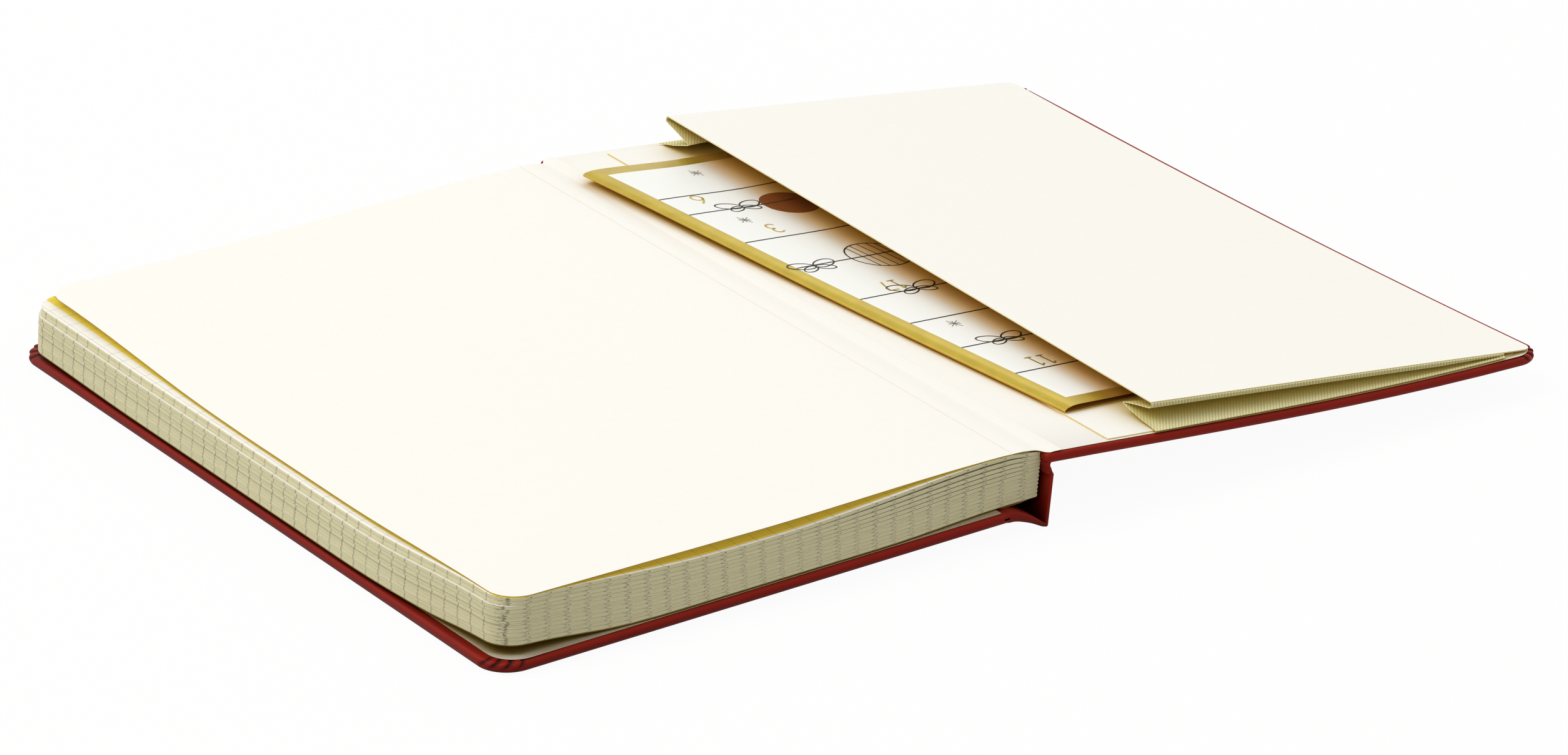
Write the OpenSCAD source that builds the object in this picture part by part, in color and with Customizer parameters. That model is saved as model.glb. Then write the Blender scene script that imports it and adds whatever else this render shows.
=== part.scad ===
// Case-bound squared notebook with an expanding pocket inside the rear cover.
// It lies on its front cover, with the rear cover laid open to the right of the spine.
// X runs from the leaves' fore-edge across the spine, Y from tail to head, Z up from the table.
// Millimetres. The origin is on the table, under the middle of the open notebook.

/* [Leaves] */
// Width of a leaf, from the fore-edge to the spine fold
leaf_w = 140.3; // [120:0.1:170]
// Height of a leaf, from tail to head
leaf_len = 204; // [170:1:245]
// Radius of the leaves' two fore-edge corners
leaf_r = 7; // [3:0.5:14]
// Number of sewn sections
section_n = 12; // [10:1:15]
// Thickness of one pressed section
section_t = 0.92; // [0.8:0.01:1.1]
// Thickness of the endpaper's free leaf
flyleaf_t = 0.2; // [0.12:0.02:0.24]

/* [Spine of the leaves] */
// Thickness of the sewing thread
thread_d = 0.3; // [0.2:0.05:0.5]
// Number of sewing stations along the spine
station_n = 5; // [3:1:7]
// Distance from one sewing station to the next
station_step = 38; // [28:1:40]
// Distance between the two holes of a station
station_pair = 7; // [4:0.5:12]
// Thickness of the gauze that joins the sections to the covers
mull_t = 0.25; // [0.15:0.05:0.4]
// Thickness of the kraft paper lining
lining_t = 0.25; // [0.15:0.05:0.4]
// Distance that gauze and lining stop short of head and tail
lining_inset = 4; // [2:0.5:15]

/* [Covers] */
// How far the covers stand out past the leaves on three sides
square_w = 3; // [2:0.25:4]
// Distance from the leaves' spine fold back to the edge of a board
joint_w = 4.8; // [4.6:0.1:6]
// Thickness of the greyboard
board_t = 1.9; // [1.6:0.1:2.7]
// Thickness of the leatherette
wrap_t = 0.3; // [0.2:0.05:0.4]
// Width of leatherette turned in over the inside of a board
turn_in = 15; // [8:1:25]
// Radius of the covers' two fore-edge corners
cover_r = 8; // [4:0.5:15]
// Thickness of the pasted endpaper
paste_t = 0.15; // [0.1:0.01:0.2]
// Width of leatherette left bare around the pasted endpaper
paste_inset = 0.6; // [0.5:0.1:4]

/* [Spine strip] */
// Thickness of the card inside the spine strip
card_t = 1.2; // [0.8:0.1:1.6]
// Outward lean of the spine strip, in degrees
spine_lean = 6; // [4:0.5:8]
// Clearance between the leaves' lining and the foot of the strip
spine_gap = 0.3; // [0.2:0.05:1]
// Length of bare leatherette between the top of the strip and the open rear cover
strip_clear = 2; // [0.6:0.1:3]

/* [Pose] */
// Height of the leaves above the front cover's inside, at the fore-edge
fore_gap = 2.5; // [1.8:0.1:3]
// Rise of the leaves towards the spine, in degrees
block_tilt = 0.6; // [0.3:0.1:1]
// Fall of the open rear cover away from the spine, in degrees
rear_tilt = 3.4; // [2:0.1:3.8]
// Height of the rear cover's inside above the last leaf, at the spine
rear_rise = 0.16; // [0.1:0.02:0.6]

/* [Pocket] */
// Distance that the pocket lies nearer the tail than the middle of the cover
pocket_shift = 1; // [0:0.1:1.5]
// Distance of the back sheet's free edge from the spine
back_edge_s = 17.7; // [6:0.1:30]
// Distance of the pocket's mouth from the spine, at mid height
mouth_s = 33; // [22:0.5:60]
// Length that the mouth's edge runs out of square, from tail to head
mouth_slant = 3.4; // [0:0.2:8]
// Thickness of the pocket's back sheet
back_sheet_t = 0.3; // [0.2:0.05:0.4]
// Thickness of the pocket's front panel
panel_t = 0.4; // [0.3:0.05:0.6]
// Height of the panel's underside above the cover at the mouth
mouth_rise = 4.6; // [4:0.1:9]
// Height of the panel's underside above the cover at its fold
fold_rise = 0.7; // [0.6:0.05:1.2]
// Thickness of the ribbed gusset cloth
gusset_t = 0.3; // [0.2:0.05:0.4]
// Depth of the gusset's inward fold
gusset_depth = 12; // [6:0.5:13]

/* [Leaflet] */
// How much shorter the folded leaflet is than the pocket
leaflet_short = 31.2; // [26:0.1:60]
// How much narrower the folded leaflet is than the pocket
leaflet_narrow = 14; // [10:0.5:50]
// Thickness of the leaflet's paper
leaflet_t = 0.2; // [0.12:0.02:0.22]
// Outer radius of the leaflet's fold
leaflet_fold_r = 0.75; // [0.5:0.05:0.8]
// Turn of the leaflet in the pocket, in degrees
leaflet_turn = 5.75; // [0:0.25:6]
// Distance of the leaflet's tail corner from the spine
leaflet_s = 17.5; // [17.5:0.1:20]

/* [Hidden] */
$fn = 64;
cut = 1;
gap = 0.1;

section_names = [for (i = [1:section_n]) str("section_", i < 10 ? "0" : "", i)];

// covers
cover_len = leaf_len + 2 * square_w;
board_w = leaf_w + square_w - joint_w;
cover_t = board_t + 2 * wrap_t + paste_t;

// leaves
block_t = section_n * section_t;
block_z = cover_t + fore_gap;
joint_x = leaf_w - joint_w;
fold_r = section_t / 2;
flyleaf_w = leaf_w - 1.2;
lining_x = leaf_w + thread_d + mull_t;
block_top = block_z + leaf_w * sin(block_tilt) + (block_t + flyleaf_t + gap / 5) * cos(block_tilt);

// front cover: its board lifts until it is one clearance short of the free leaf
joint_under = block_z + joint_x * sin(block_tilt) - flyleaf_t - 2 * gap;
front_tilt = asin((joint_under - cover_t) / board_w);
front_end_z = board_w * sin(front_tilt);

// rear cover: its own frame has x from the spine outwards and z = 0 on its inside
rear_x = leaf_w + 1.5;
rear_z = block_top + rear_rise;
rear_setback = 3.1;
rear_end = rear_setback + board_w;

// spine strip
strip_t = card_t + 2 * wrap_t;
strip_foot_z = block_z + leaf_w * sin(block_tilt);
strip_x = lining_x + lining_t + spine_gap + strip_t / cos(spine_lean) - strip_foot_z * tan(spine_lean);
strip_len = (rear_z - cover_t - strip_clear) / cos(spine_lean);

// pocket, in the rear cover's frame
pocket_fold_s = rear_end - 2.6;
pocket_len = cover_len - 4.8;
pocket_w = pocket_fold_s - mouth_s;
panel_tilt = asin((mouth_rise - fold_rise) / pocket_w);
leaflet_len = pocket_len - leaflet_short;
leaflet_w = pocket_w - leaflet_narrow;

// middle of the open notebook
far_x = rear_x + rear_end * cos(rear_tilt) - paste_t * sin(rear_tilt);
mid_x = (far_x - square_w) / 2;

// Places, each from the notebook's own frame

module in_front_cover() {
    translate([-square_w, 0, 0]) rotate([0, -front_tilt, 0]) children();
}

module in_block() {
    translate([0, 0, block_z]) rotate([0, -block_tilt, 0]) children();
}

module in_spine_strip() {
    translate([strip_x, 0, 0]) rotate([0, spine_lean, 0]) children();
}

module in_rear_cover() {
    translate([rear_x, 0, rear_z]) rotate([0, rear_tilt, 0]) children();
}

module in_pocket() {
    in_rear_cover() translate([0, -pocket_shift, 0]) children();
}

// A cover piece drawn from its fore-edge, set into the rear cover's frame
module as_rear_piece() {
    in_rear_cover() translate([rear_end, 0, -cover_t]) mirror([1, 0, 0]) children();
}

// Shapes that repeat

// Sheet outline from x = 0, its fore-edge, with two round corners there
module sheet_outline(width, len, r) {
    translate([r, -len / 2]) square([width - r, len]);
    translate([0, -len / 2 + r]) square([width, len - 2 * r]);
    for (side = [-1, 1]) translate([r, side * (len / 2 - r)]) circle(r);
}

// A sheet's cross-section in X and Z, drawn along the whole length in Y
module along_y(len) {
    translate([0, len / 2, 0]) rotate([90, 0, 0]) linear_extrude(len) children();
}

module board() {
    translate([wrap_t, 0, wrap_t]) linear_extrude(board_t)
        sheet_outline(board_w - wrap_t, cover_len - 2 * wrap_t, cover_r - wrap_t);
}

// Leatherette: outside face, three edges and the turn-ins, open at the spine side
module board_wrap() {
    inner_w = board_w - turn_in + cut;
    difference() {
        linear_extrude(board_t + 2 * wrap_t) sheet_outline(board_w, cover_len, cover_r);
        translate([wrap_t, 0, wrap_t]) linear_extrude(board_t)
            sheet_outline(board_w + cut, cover_len - 2 * wrap_t, cover_r - wrap_t);
        translate([turn_in, -cover_len / 2 + turn_in, board_t])
            cube([inner_w, cover_len - 2 * turn_in, 2 * wrap_t + cut]);
    }
}

// Pasted endpaper, thicker inside the turn-ins where it sinks onto the board
module pastedown() {
    sink = wrap_t + paste_t;
    translate([paste_inset, 0, board_t + 2 * wrap_t]) linear_extrude(paste_t)
        sheet_outline(board_w - paste_inset, cover_len - 2 * paste_inset, cover_r - paste_inset);
    translate([turn_in, -cover_len / 2 + turn_in, board_t + wrap_t])
        cube([board_w - turn_in, cover_len - 2 * turn_in, sink]);
}

// Front cover

module front_board() {
    color("#8C8478") in_front_cover() board();
}

module front_wrap() {
    color("#9C241E") in_front_cover() board_wrap();
}

module front_pastedown() {
    color("#FBF9F0") in_front_cover() pastedown();
}

// Leatherette between board and spine strip, sagging into the joint groove
module front_joint_cloth() {
    x0 = joint_x + gap;
    x1 = strip_x - strip_t - gap;
    z0 = front_end_z;
    z1 = 2 * gap;
    fall = [[0, 0], [0.4, 0.1], [0.75, 0.5], [1, 1]];
    lower = [for (f = fall) [x0 + f[0] * (x1 - x0), z0 + f[1] * (z1 - z0)]];
    upper = [for (i = [len(lower) - 1:-1:0]) lower[i] + [0, 2 * wrap_t]];
    color("#7A1814") along_y(cover_len) polygon(concat(lower, upper));
}

// Endpaper crossing the joint, from the pasted sheet to the fold of the free leaf
module front_endpaper_hinge() {
    x0 = joint_x + gap;
    z0 = joint_under - paste_t;
    x1 = leaf_w - gap;
    z1 = block_z + x1 * sin(block_tilt) - flyleaf_t - gap - paste_t;
    color("#FBF9F0") along_y(leaf_len)
        polygon([[x0, z0], [x1, z1], [x1, z1 + paste_t], [x0, z0 + paste_t]]);
}

// Leaves and what holds them together

module front_flyleaf() {
    color("#FBF9F0") in_block() translate([0, 0, -flyleaf_t - gap / 5])
        linear_extrude(flyleaf_t) sheet_outline(flyleaf_w, leaf_len, leaf_r);
}

// One sewn section: folded leaves, round at the spine fold
module section(i) {
    color(i % 2 == 0 ? "#EFEBCF" : "#E6E1C2") in_block() translate([0, 0, i * section_t]) {
        linear_extrude(section_t) sheet_outline(leaf_w - fold_r, leaf_len, leaf_r);
        translate([leaf_w - fold_r, 0, fold_r]) rotate([90, 0, 0])
            cylinder(r = fold_r, h = leaf_len, center = true);
    }
}

// Upright lengths of thread that link the sections at each station's two holes
module sewing_thread() {
    first = -(station_n - 1) / 2 * station_step;
    color("#F4F2E8") in_block()
        for (k = [0:station_n - 1], side = [-1, 1])
            translate([leaf_w + thread_d / 2, first + k * station_step + side * station_pair / 2, 0])
                cylinder(d = thread_d, h = block_t);
}

module spine_mull() {
    color("#E2DDCB") in_block()
        translate([leaf_w + thread_d, -leaf_len / 2 + lining_inset, 0])
            cube([mull_t, leaf_len - 2 * lining_inset, block_t]);
}

module spine_lining() {
    color("#B79B6C") in_block()
        translate([lining_x, -leaf_len / 2 + lining_inset, 0])
            cube([lining_t, leaf_len - 2 * lining_inset, block_t]);
}

module rear_flyleaf() {
    color("#FCFAF2") in_block() translate([0, 0, block_t + gap / 5])
        linear_extrude(flyleaf_t) sheet_outline(flyleaf_w, leaf_len, leaf_r);
}

// Spine strip: its frame has x = 0 on the outside and z up the strip

module spine_card() {
    color("#8C8478") in_spine_strip()
        translate([-wrap_t - card_t, -cover_len / 2 + wrap_t, wrap_t])
            cube([card_t, cover_len - 2 * wrap_t, strip_len - 2 * wrap_t]);
}

module spine_wrap() {
    color("#9C241E") in_spine_strip() difference() {
        translate([-strip_t, -cover_len / 2, 0]) cube([strip_t, cover_len, strip_len]);
        translate([-wrap_t - card_t, -cover_len / 2 + wrap_t, wrap_t])
            cube([card_t, cover_len - 2 * wrap_t, strip_len - 2 * wrap_t]);
        translate([-strip_t - cut, -cover_len / 2 + turn_in, wrap_t])
            cube([cut + 2 * wrap_t, cover_len - 2 * turn_in, strip_len - 2 * wrap_t]);
    }
}

// Rear cover

module rear_board() {
    color("#8C8478") as_rear_piece() board();
}

module rear_wrap() {
    color("#9C241E") as_rear_piece() board_wrap();
}

module rear_pastedown() {
    color("#FCFAF2") as_rear_piece() pastedown();
}

// Leatherette of the joint, folded up against the board's edge when the cover lies open
module rear_joint_cloth() {
    roll_r = (cover_t - 5 * gap) / 2;
    color("#7A1814") in_rear_cover() along_y(cover_len) translate([roll_r + gap, -cover_t + roll_r]) {
        circle(roll_r);
        translate([0, -roll_r]) square([rear_setback - roll_r - 2 * gap, 2 * roll_r]);
    }
}

// Endpaper crossing the joint, from the last leaf to the pasted sheet
module rear_endpaper_hinge() {
    x0 = flyleaf_w + gap;
    z0 = block_top - (leaf_w - x0) * sin(block_tilt) - paste_t;
    x1 = rear_x + (rear_setback - gap) * cos(rear_tilt);
    z1 = rear_z - (rear_setback - gap) * sin(rear_tilt) - paste_t;
    color("#FCFAF2") along_y(leaf_len)
        polygon([[x0, z0], [x1, z1], [x1, z1 + paste_t], [x0, z0 + paste_t]]);
}

// Pocket

module pocket_back_sheet() {
    r = cover_r - paste_inset;
    color("#F3EFDA") in_pocket() translate([pocket_fold_s, 0, 0]) mirror([1, 0, 0])
        linear_extrude(back_sheet_t) sheet_outline(pocket_fold_s - back_edge_s, pocket_len, r);
}

// Front panel, hinged on its fore-edge fold and risen at the mouth
module pocket_panel() {
    r = cover_r - paste_inset;
    tail_w = pocket_w + mouth_slant / 2;
    head_w = pocket_w - mouth_slant / 2;
    far = pocket_w + cover_r;
    half = pocket_len / 2;
    color("#FCFAF2") in_pocket() translate([pocket_fold_s, 0, fold_rise])
        rotate([0, panel_tilt, 0]) mirror([1, 0, 0]) linear_extrude(panel_t)
            difference() {
                sheet_outline(far, pocket_len, r);
                polygon([[tail_w, -half - cut], [far + cut, -half - cut],
                         [far + cut, half + cut], [head_w, half + cut]]);
            }
}

// Cloth strip that joins back sheet and panel along the fore-edge
module pocket_fold_strip() {
    strip_y = pocket_len - 2 * cover_r;
    color("#E9E4C6") in_pocket() translate([pocket_fold_s + gap, -strip_y / 2, gap])
        cube([gusset_t, strip_y, fold_rise + panel_t - gap]);
}

// One leaf of a gusset, from the mouth at x = 0: a long triangle that rises inwards by angle rise
module gusset_leaf(len, rise) {
    rotate([rise, 0, 0]) linear_extrude(gusset_t) polygon([[0, 0], [len, 0], [0, gusset_depth]]);
}

// Tail gusset: a V of cloth folded inwards between back sheet and panel, closing towards the fold
module gusset(width) {
    edge = -pocket_len / 2 + gap;
    len = width - cover_r;
    low = back_sheet_t + gap / 2;
    high = fold_rise - gap + width * tan(panel_tilt);
    rise = asin(((high - low) - gusset_t) / 2 / gusset_depth);
    color("#DDD8B4") in_pocket() {
        translate([pocket_fold_s - width, edge, low]) gusset_leaf(len, rise);
        translate([pocket_fold_s, 0, fold_rise - gap]) rotate([0, panel_tilt, 0]) mirror([0, 0, 1])
            translate([-width / cos(panel_tilt), edge, 0]) gusset_leaf(len, rise);
    }
}

module tail_gusset() {
    gusset(pocket_w + mouth_slant / 2);
}

module head_gusset() {
    mirror([0, 1, 0]) gusset(pocket_w - mouth_slant / 2);
}

// Leaflet: one sheet folded along its spine-side edge, a little sprung open
module leaflet() {
    r = leaflet_fold_r;
    t = leaflet_t;
    flat_x = leaflet_w / 2;
    color("#E9DDA8") in_rear_cover()
        translate([leaflet_s, -leaflet_len / 2 - gap / 2, back_sheet_t + gap / 2])
            rotate([0, 0, leaflet_turn]) translate([0, leaflet_len / 2, 0]) along_y(leaflet_len) {
                difference() {
                    translate([r, r]) circle(r);
                    translate([r, r]) circle(r - t);
                    translate([r, -cut]) square([r + cut, 2 * r + 2 * cut]);
                }
                translate([r, 0]) square([leaflet_w - r, t]);
                polygon([[r, 2 * r - t], [flat_x, t + gap / 2], [leaflet_w, t + gap / 2],
                         [leaflet_w, 2 * t + gap / 2], [flat_x, 2 * t + gap / 2], [r, 2 * r]]);
            }
}

// The notebook, each piece under its own name

module placed() {
    translate([-mid_x, 0, 0]) children();
}

placed() front_board();
placed() front_wrap();
placed() front_pastedown();
placed() front_flyleaf();
placed() front_joint_cloth();
placed() front_endpaper_hinge();
for (i = [0:section_n - 1])
    placed() section(i);
placed() sewing_thread();
placed() spine_mull();
placed() spine_lining();
placed() spine_card();
placed() spine_wrap();
placed() rear_flyleaf();
placed() rear_endpaper_hinge();
placed() rear_joint_cloth();
placed() rear_board();
placed() rear_wrap();
placed() rear_pastedown();
placed() pocket_back_sheet();
placed() pocket_fold_strip();
placed() pocket_panel();
placed() tail_gusset();
placed() head_gusset();
placed() leaflet();
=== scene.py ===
"""A squared notebook with an inner pocket, lying open at its rear cover.

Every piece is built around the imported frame, in metres, and rides on one of its bodies. Lengths in
the code are millimetres, measured in the frame of the piece's own body, until a mesh is made.
"""

import math

import bmesh
import bpy
import numpy as np
from bpy.props import FloatProperty, FloatVectorProperty, IntProperty, PointerProperty
from mathutils import Matrix, Vector


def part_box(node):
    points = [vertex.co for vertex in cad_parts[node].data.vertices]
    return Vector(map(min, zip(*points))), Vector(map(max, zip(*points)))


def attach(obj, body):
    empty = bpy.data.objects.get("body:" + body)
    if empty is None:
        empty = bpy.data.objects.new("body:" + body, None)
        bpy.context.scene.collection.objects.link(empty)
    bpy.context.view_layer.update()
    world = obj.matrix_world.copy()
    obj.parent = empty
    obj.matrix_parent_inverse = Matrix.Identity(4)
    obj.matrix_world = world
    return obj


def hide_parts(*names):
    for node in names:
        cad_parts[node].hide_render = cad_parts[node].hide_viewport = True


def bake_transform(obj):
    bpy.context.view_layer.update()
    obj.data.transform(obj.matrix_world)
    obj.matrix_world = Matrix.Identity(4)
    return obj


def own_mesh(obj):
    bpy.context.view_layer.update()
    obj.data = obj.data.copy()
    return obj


bl_info = {
    "name": "Pocket notebook",
    "version": (1, 0, 0),
    "blender": (4, 5, 0),
    "location": "View3D > Sidebar > Notebook",
    "description": "Builds a case-bound squared notebook with an inner pocket on its packed frame",
    "category": "Add Mesh",
}

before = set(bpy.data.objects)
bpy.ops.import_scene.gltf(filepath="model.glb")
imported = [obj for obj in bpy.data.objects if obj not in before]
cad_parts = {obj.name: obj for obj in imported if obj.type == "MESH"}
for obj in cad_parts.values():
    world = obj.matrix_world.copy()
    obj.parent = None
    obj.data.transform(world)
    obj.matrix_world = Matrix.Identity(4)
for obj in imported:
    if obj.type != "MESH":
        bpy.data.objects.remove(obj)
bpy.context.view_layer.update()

MM = 0.001

# Where the row frame's origin lies along x, measured from the leaves' fore-edge
MID_X = 140.0709

# Places of the bodies' own frames: x and z of the origin and the turn about Y in degrees
FRONT_COVER = (-3.0, 0.0, -1.4559)
LEAF_BLOCK = (0.0, 5.15, -0.6)
SPINE_STRIP = (142.5142, 0.0, 6.0)
REAR_COVER = (141.8, 18.0386, 3.4)
COVER_PLACES = {"front": FRONT_COVER, "rear": REAR_COVER}
WHOLE = (0.0, 0.0, 0.0)

# Leaves: width, radius of the fore-edge corners, and the sewn sections
LEAF_W = 140.3
LEAF_R = 7.0
SECTION_T = 0.92
SECTION_COUNT = 12
BLOCK_T = SECTION_COUNT * SECTION_T
# Thickness of a drawn leaf as a share of its pitch
LEAF_SHARE = 0.9
# Where the ruling's first lines stand, from the fore-edge along x and from the middle along y
FIRST_LINES = (1.67, -0.23)
# How far the print strays: on the inner sheets of a section, on a whole section, on one leaf
PRINT_CREEP = 1.5
SECTION_SLIP = 0.3
LEAF_SLIP = 0.2
# Free endpapers, and the folds that join them to the covers
FLYLEAF_W = 139.1
FLYLEAF_T = 0.2
FOLD_T = 0.12
# Covers: board, leatherette, board wrapped in it, and the pasted endpaper on top
BOARD_W = 138.5
WRAP_T = 0.3
WRAPPED_T = 2.5
COVER_T = 2.65
COVER_R = 8.0
REAR_COVER_R = 6.5
# Fore-edge of the rear cover's board, and how far its leatherette is drawn past it
REAR_END = 141.6
REAR_SPARE = 1.6
# Height of the spine strip
STRIP_LEN = 13.46
# Pocket: places along the rear cover from its spine side, heights and thicknesses
PANEL_FOLD = 139.0
PANEL_FOLD_RISE = 0.7
PANEL_TILT = math.radians(2.1085)
PANEL_T = 0.28
PANEL_R = 2.6
PANEL_END = 140.5
MOUTH_S = 33.0
POCKET_DEPTH = 108.0
BACK_SHEET_T = 0.3
BACK_EDGE = 17.7
POCKET_LEN = 205.2
POCKET_Y = -1.0
# Leaflet: paper, length, width, and the place and turn of its corner by the fold
LEAFLET_T = 0.16
LEAFLET_LEN = 174.0
LEAFLET_W = 92.0
LEAFLET_CORNER = (17.5, -87.05, 0.35)
LEAFLET_TURN = math.radians(5.75)


def box_mm(node):
    """Low and high corner of a node's box, in millimetres."""
    low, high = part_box(node)
    return np.array(low) / MM, np.array(high) / MM


LEAF_LEN = float(np.ptp([corner[1] for corner in box_mm("section_01")]))
COVER_LEN = float(np.ptp([corner[1] for corner in box_mm("front_wrap")]))


def linear(hex_colour):
    """An sRGB hex colour as linear RGBA."""
    parts = [int(hex_colour[i:i + 2], 16) / 255 for i in (1, 3, 5)]
    return [c / 12.92 if c <= 0.04045 else ((c + 0.055) / 1.055) ** 2.4 for c in parts] + [1.0]


def colour_property(name, description, hex_colour):
    """A colour that a user may change, given in hex."""
    return FloatVectorProperty(name=name, description=description, subtype="COLOR", size=4,
                               min=0, max=1, default=linear(hex_colour))


class NotebookSizes(bpy.types.PropertyGroup):
    """Sizes of the notebook's finish that a user may change."""

    edge_round: FloatProperty(
        name="Edge round", description="Radius of the leatherette over a board's edge",
        default=1.05 * MM, min=0.5 * MM, max=1.2 * MM, unit="LENGTH")
    turn_in: FloatProperty(
        name="Turn-in", description="Width of leatherette turned in over the inside of a board",
        default=15 * MM, min=8 * MM, max=25 * MM, unit="LENGTH")
    leaves_per_section: IntProperty(
        name="Leaves per section", description="Number of leaves in one sewn section",
        default=8, min=4, max=12)
    leaf_shift: FloatProperty(
        name="Leaf shift", description="Furthest that a leaf stands out of the pile's edge",
        default=0.04 * MM, min=0, max=0.3 * MM, unit="LENGTH")
    square: FloatProperty(
        name="Square", description="Side of one square of the ruling",
        default=5 * MM, min=4 * MM, max=7 * MM, unit="LENGTH")
    rib_pitch: FloatProperty(
        name="Rib pitch", description="Distance from one rib of the gusset cloth to the next",
        default=0.8 * MM, min=0.5 * MM, max=2 * MM, unit="LENGTH")
    border: FloatProperty(
        name="Border", description="Width of the leaflet's gold border",
        default=4.4 * MM, min=1 * MM, max=9 * MM, unit="LENGTH")


class NotebookColours(bpy.types.PropertyGroup):
    """Colours of the notebook's materials."""

    leatherette: colour_property("Leatherette", "Red coating of the covers", "#9E2010")
    endpaper: colour_property("Endpaper", "Cream paper of endpapers and pocket", "#FBFAF6")
    leaf: colour_property("Leaf", "Squared paper of the leaves", "#FAF9F1")
    leaf_edge: colour_property("Leaf edge", "Cut edges of the pressed leaves", "#FCF6CA")
    ruling: colour_property("Ruling", "Printed lines of the ruling", "#64635A")
    cloth: colour_property("Gusset cloth", "Ribbed cloth of the pocket's gussets", "#F4EDBE")
    foil: colour_property("Foil", "Gold border and numerals of the leaflet", "#CDB645")
    ink: colour_property("Ink", "Dark lines printed on the leaflet", "#1A1613")
    board: colour_property("Board", "Greyboard inside the covers", "#8C8478")


def sizes():
    """The sizes set for the scene."""
    return bpy.context.scene.notebook_sizes


def colours():
    """The colours set for the scene."""
    return bpy.context.scene.notebook_colours


def dimmed(colour, *shares):
    """A colour with its red, green and blue each cut to a share; a single share does for all three."""
    return [part * share for part, share in zip(colour[:3], shares * 3)] + [1.0]


def step(low, high, value):
    """Smooth step from 0 at low to 1 at high."""
    t = np.clip((np.asarray(value, float) - low) / (high - low), 0, 1)
    return t * t * (3 - 2 * t)


# Places and meshes


def placed(points, place):
    """Points in a body's own frame as points of the row frame, in metres."""
    origin_x, origin_z, turn = place
    c, s = math.cos(math.radians(turn)), math.sin(math.radians(turn))
    p = np.asarray(points, float).reshape(-1, 3)
    x = origin_x + p[:, 0] * c + p[:, 2] * s - MID_X
    z = origin_z - p[:, 0] * s + p[:, 2] * c
    return np.stack([x, p[:, 1], z], 1) * MM


def new_piece(name, points, faces, place, material, smooth_angle=40, attributes=None):
    """A mesh object at the origin, its normals outward. attributes maps a name to one value a point."""
    mesh = bpy.data.meshes.new(name)
    mesh.from_pydata(placed(points, place).tolist(), [], faces)
    for key, values in (attributes or {}).items():
        kind = "FLOAT_VECTOR" if np.ndim(values) == 2 else "FLOAT"
        field = "vector" if kind == "FLOAT_VECTOR" else "value"
        data = mesh.attributes.new(key, kind, "POINT").data
        data.foreach_set(field, np.asarray(values, np.float32).ravel())
    work = bmesh.new()
    work.from_mesh(mesh)
    bmesh.ops.recalc_face_normals(work, faces=work.faces)
    work.to_mesh(mesh)
    work.free()
    mesh.shade_smooth()
    mesh.set_sharp_from_angle(angle=math.radians(smooth_angle))
    mesh.materials.append(material)
    piece = bpy.data.objects.new(name, mesh)
    bpy.context.scene.collection.objects.link(piece)
    return piece


def loft(rings, closed=True, caps=True):
    """Points and faces of a skin over rings of points, all with the same count."""
    rings = np.asarray(rings, float)
    count, around = rings.shape[:2]
    faces = []
    for i in range(count - 1):
        for j in range(around if closed else around - 1):
            k = (j + 1) % around
            faces.append((i * around + j, i * around + k, (i + 1) * around + k, (i + 1) * around + j))
    if caps:
        faces.append(tuple(range(around - 1, -1, -1)))
        faces.append(tuple((count - 1) * around + j for j in range(around)))
    return rings.reshape(-1, 3), faces


def sheet_solid(upper, lower):
    """Points and faces of a thin closed sheet between two grids of points."""
    upper, lower = np.asarray(upper, float), np.asarray(lower, float)
    rows, cols = upper.shape[:2]
    offset = rows * cols
    faces = []
    for i in range(rows - 1):
        for j in range(cols - 1):
            a, b = i * cols + j, (i + 1) * cols + j
            faces.append((a, b, b + 1, a + 1))
            faces.append((offset + a, offset + a + 1, offset + b + 1, offset + b))
    rim = [(i, 0) for i in range(rows)] + [(rows - 1, j) for j in range(1, cols)]
    rim += [(i, cols - 1) for i in range(rows - 2, -1, -1)] + [(0, j) for j in range(cols - 2, 0, -1)]
    for (i, j), (k, m) in zip(rim, rim[1:] + rim[:1]):
        a, b = i * cols + j, k * cols + m
        faces.append((a, offset + a, offset + b, b))
    return np.concatenate([upper.reshape(-1, 3), lower.reshape(-1, 3)]), faces


def along_y(outline, low, high, rings=24, end_round=0.6):
    """Rings of a closed outline in x and z, carried along Y with rounded ends."""
    outline = np.asarray(outline, float)
    centre_line = (outline + outline[::-1]) / 2
    fall = end_round * (1 - np.cos(np.linspace(0, math.pi / 2, 5)))
    stations = np.concatenate([low + fall, np.linspace(low + end_round, high - end_round, rings)[1:-1],
                               high - fall[::-1]])
    out = []
    for y in stations:
        reach = min(y - low, high - y, end_round) / end_round
        spread = math.sqrt(max(0.0, 1 - (1 - reach) ** 2)) * 0.7 + 0.3
        ring = centre_line + (outline - centre_line) * spread
        out.append(np.stack([ring[:, 0], np.full(len(ring), y), ring[:, 1]], 1))
    return out


def drawn_out(line, count):
    """A line of points with count points, spread evenly over its own steps."""
    line = np.asarray(line, float)
    t, at = np.linspace(0, 1, count), np.linspace(0, 1, len(line))
    return np.stack([np.interp(t, at, column) for column in line.T], 1)


def band(left, right, count):
    """Closed outline of a strip between two lines of points, with count points a side."""
    sides = [drawn_out(left, count), drawn_out(right, count)]
    kernel = np.array([0.25, 0.5, 0.25])
    for side in sides:
        for axis in (0, 1):
            side[1:-1, axis] = np.convolve(side[:, axis], kernel, "valid")
    return np.concatenate([sides[0], sides[1][::-1]])


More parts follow.
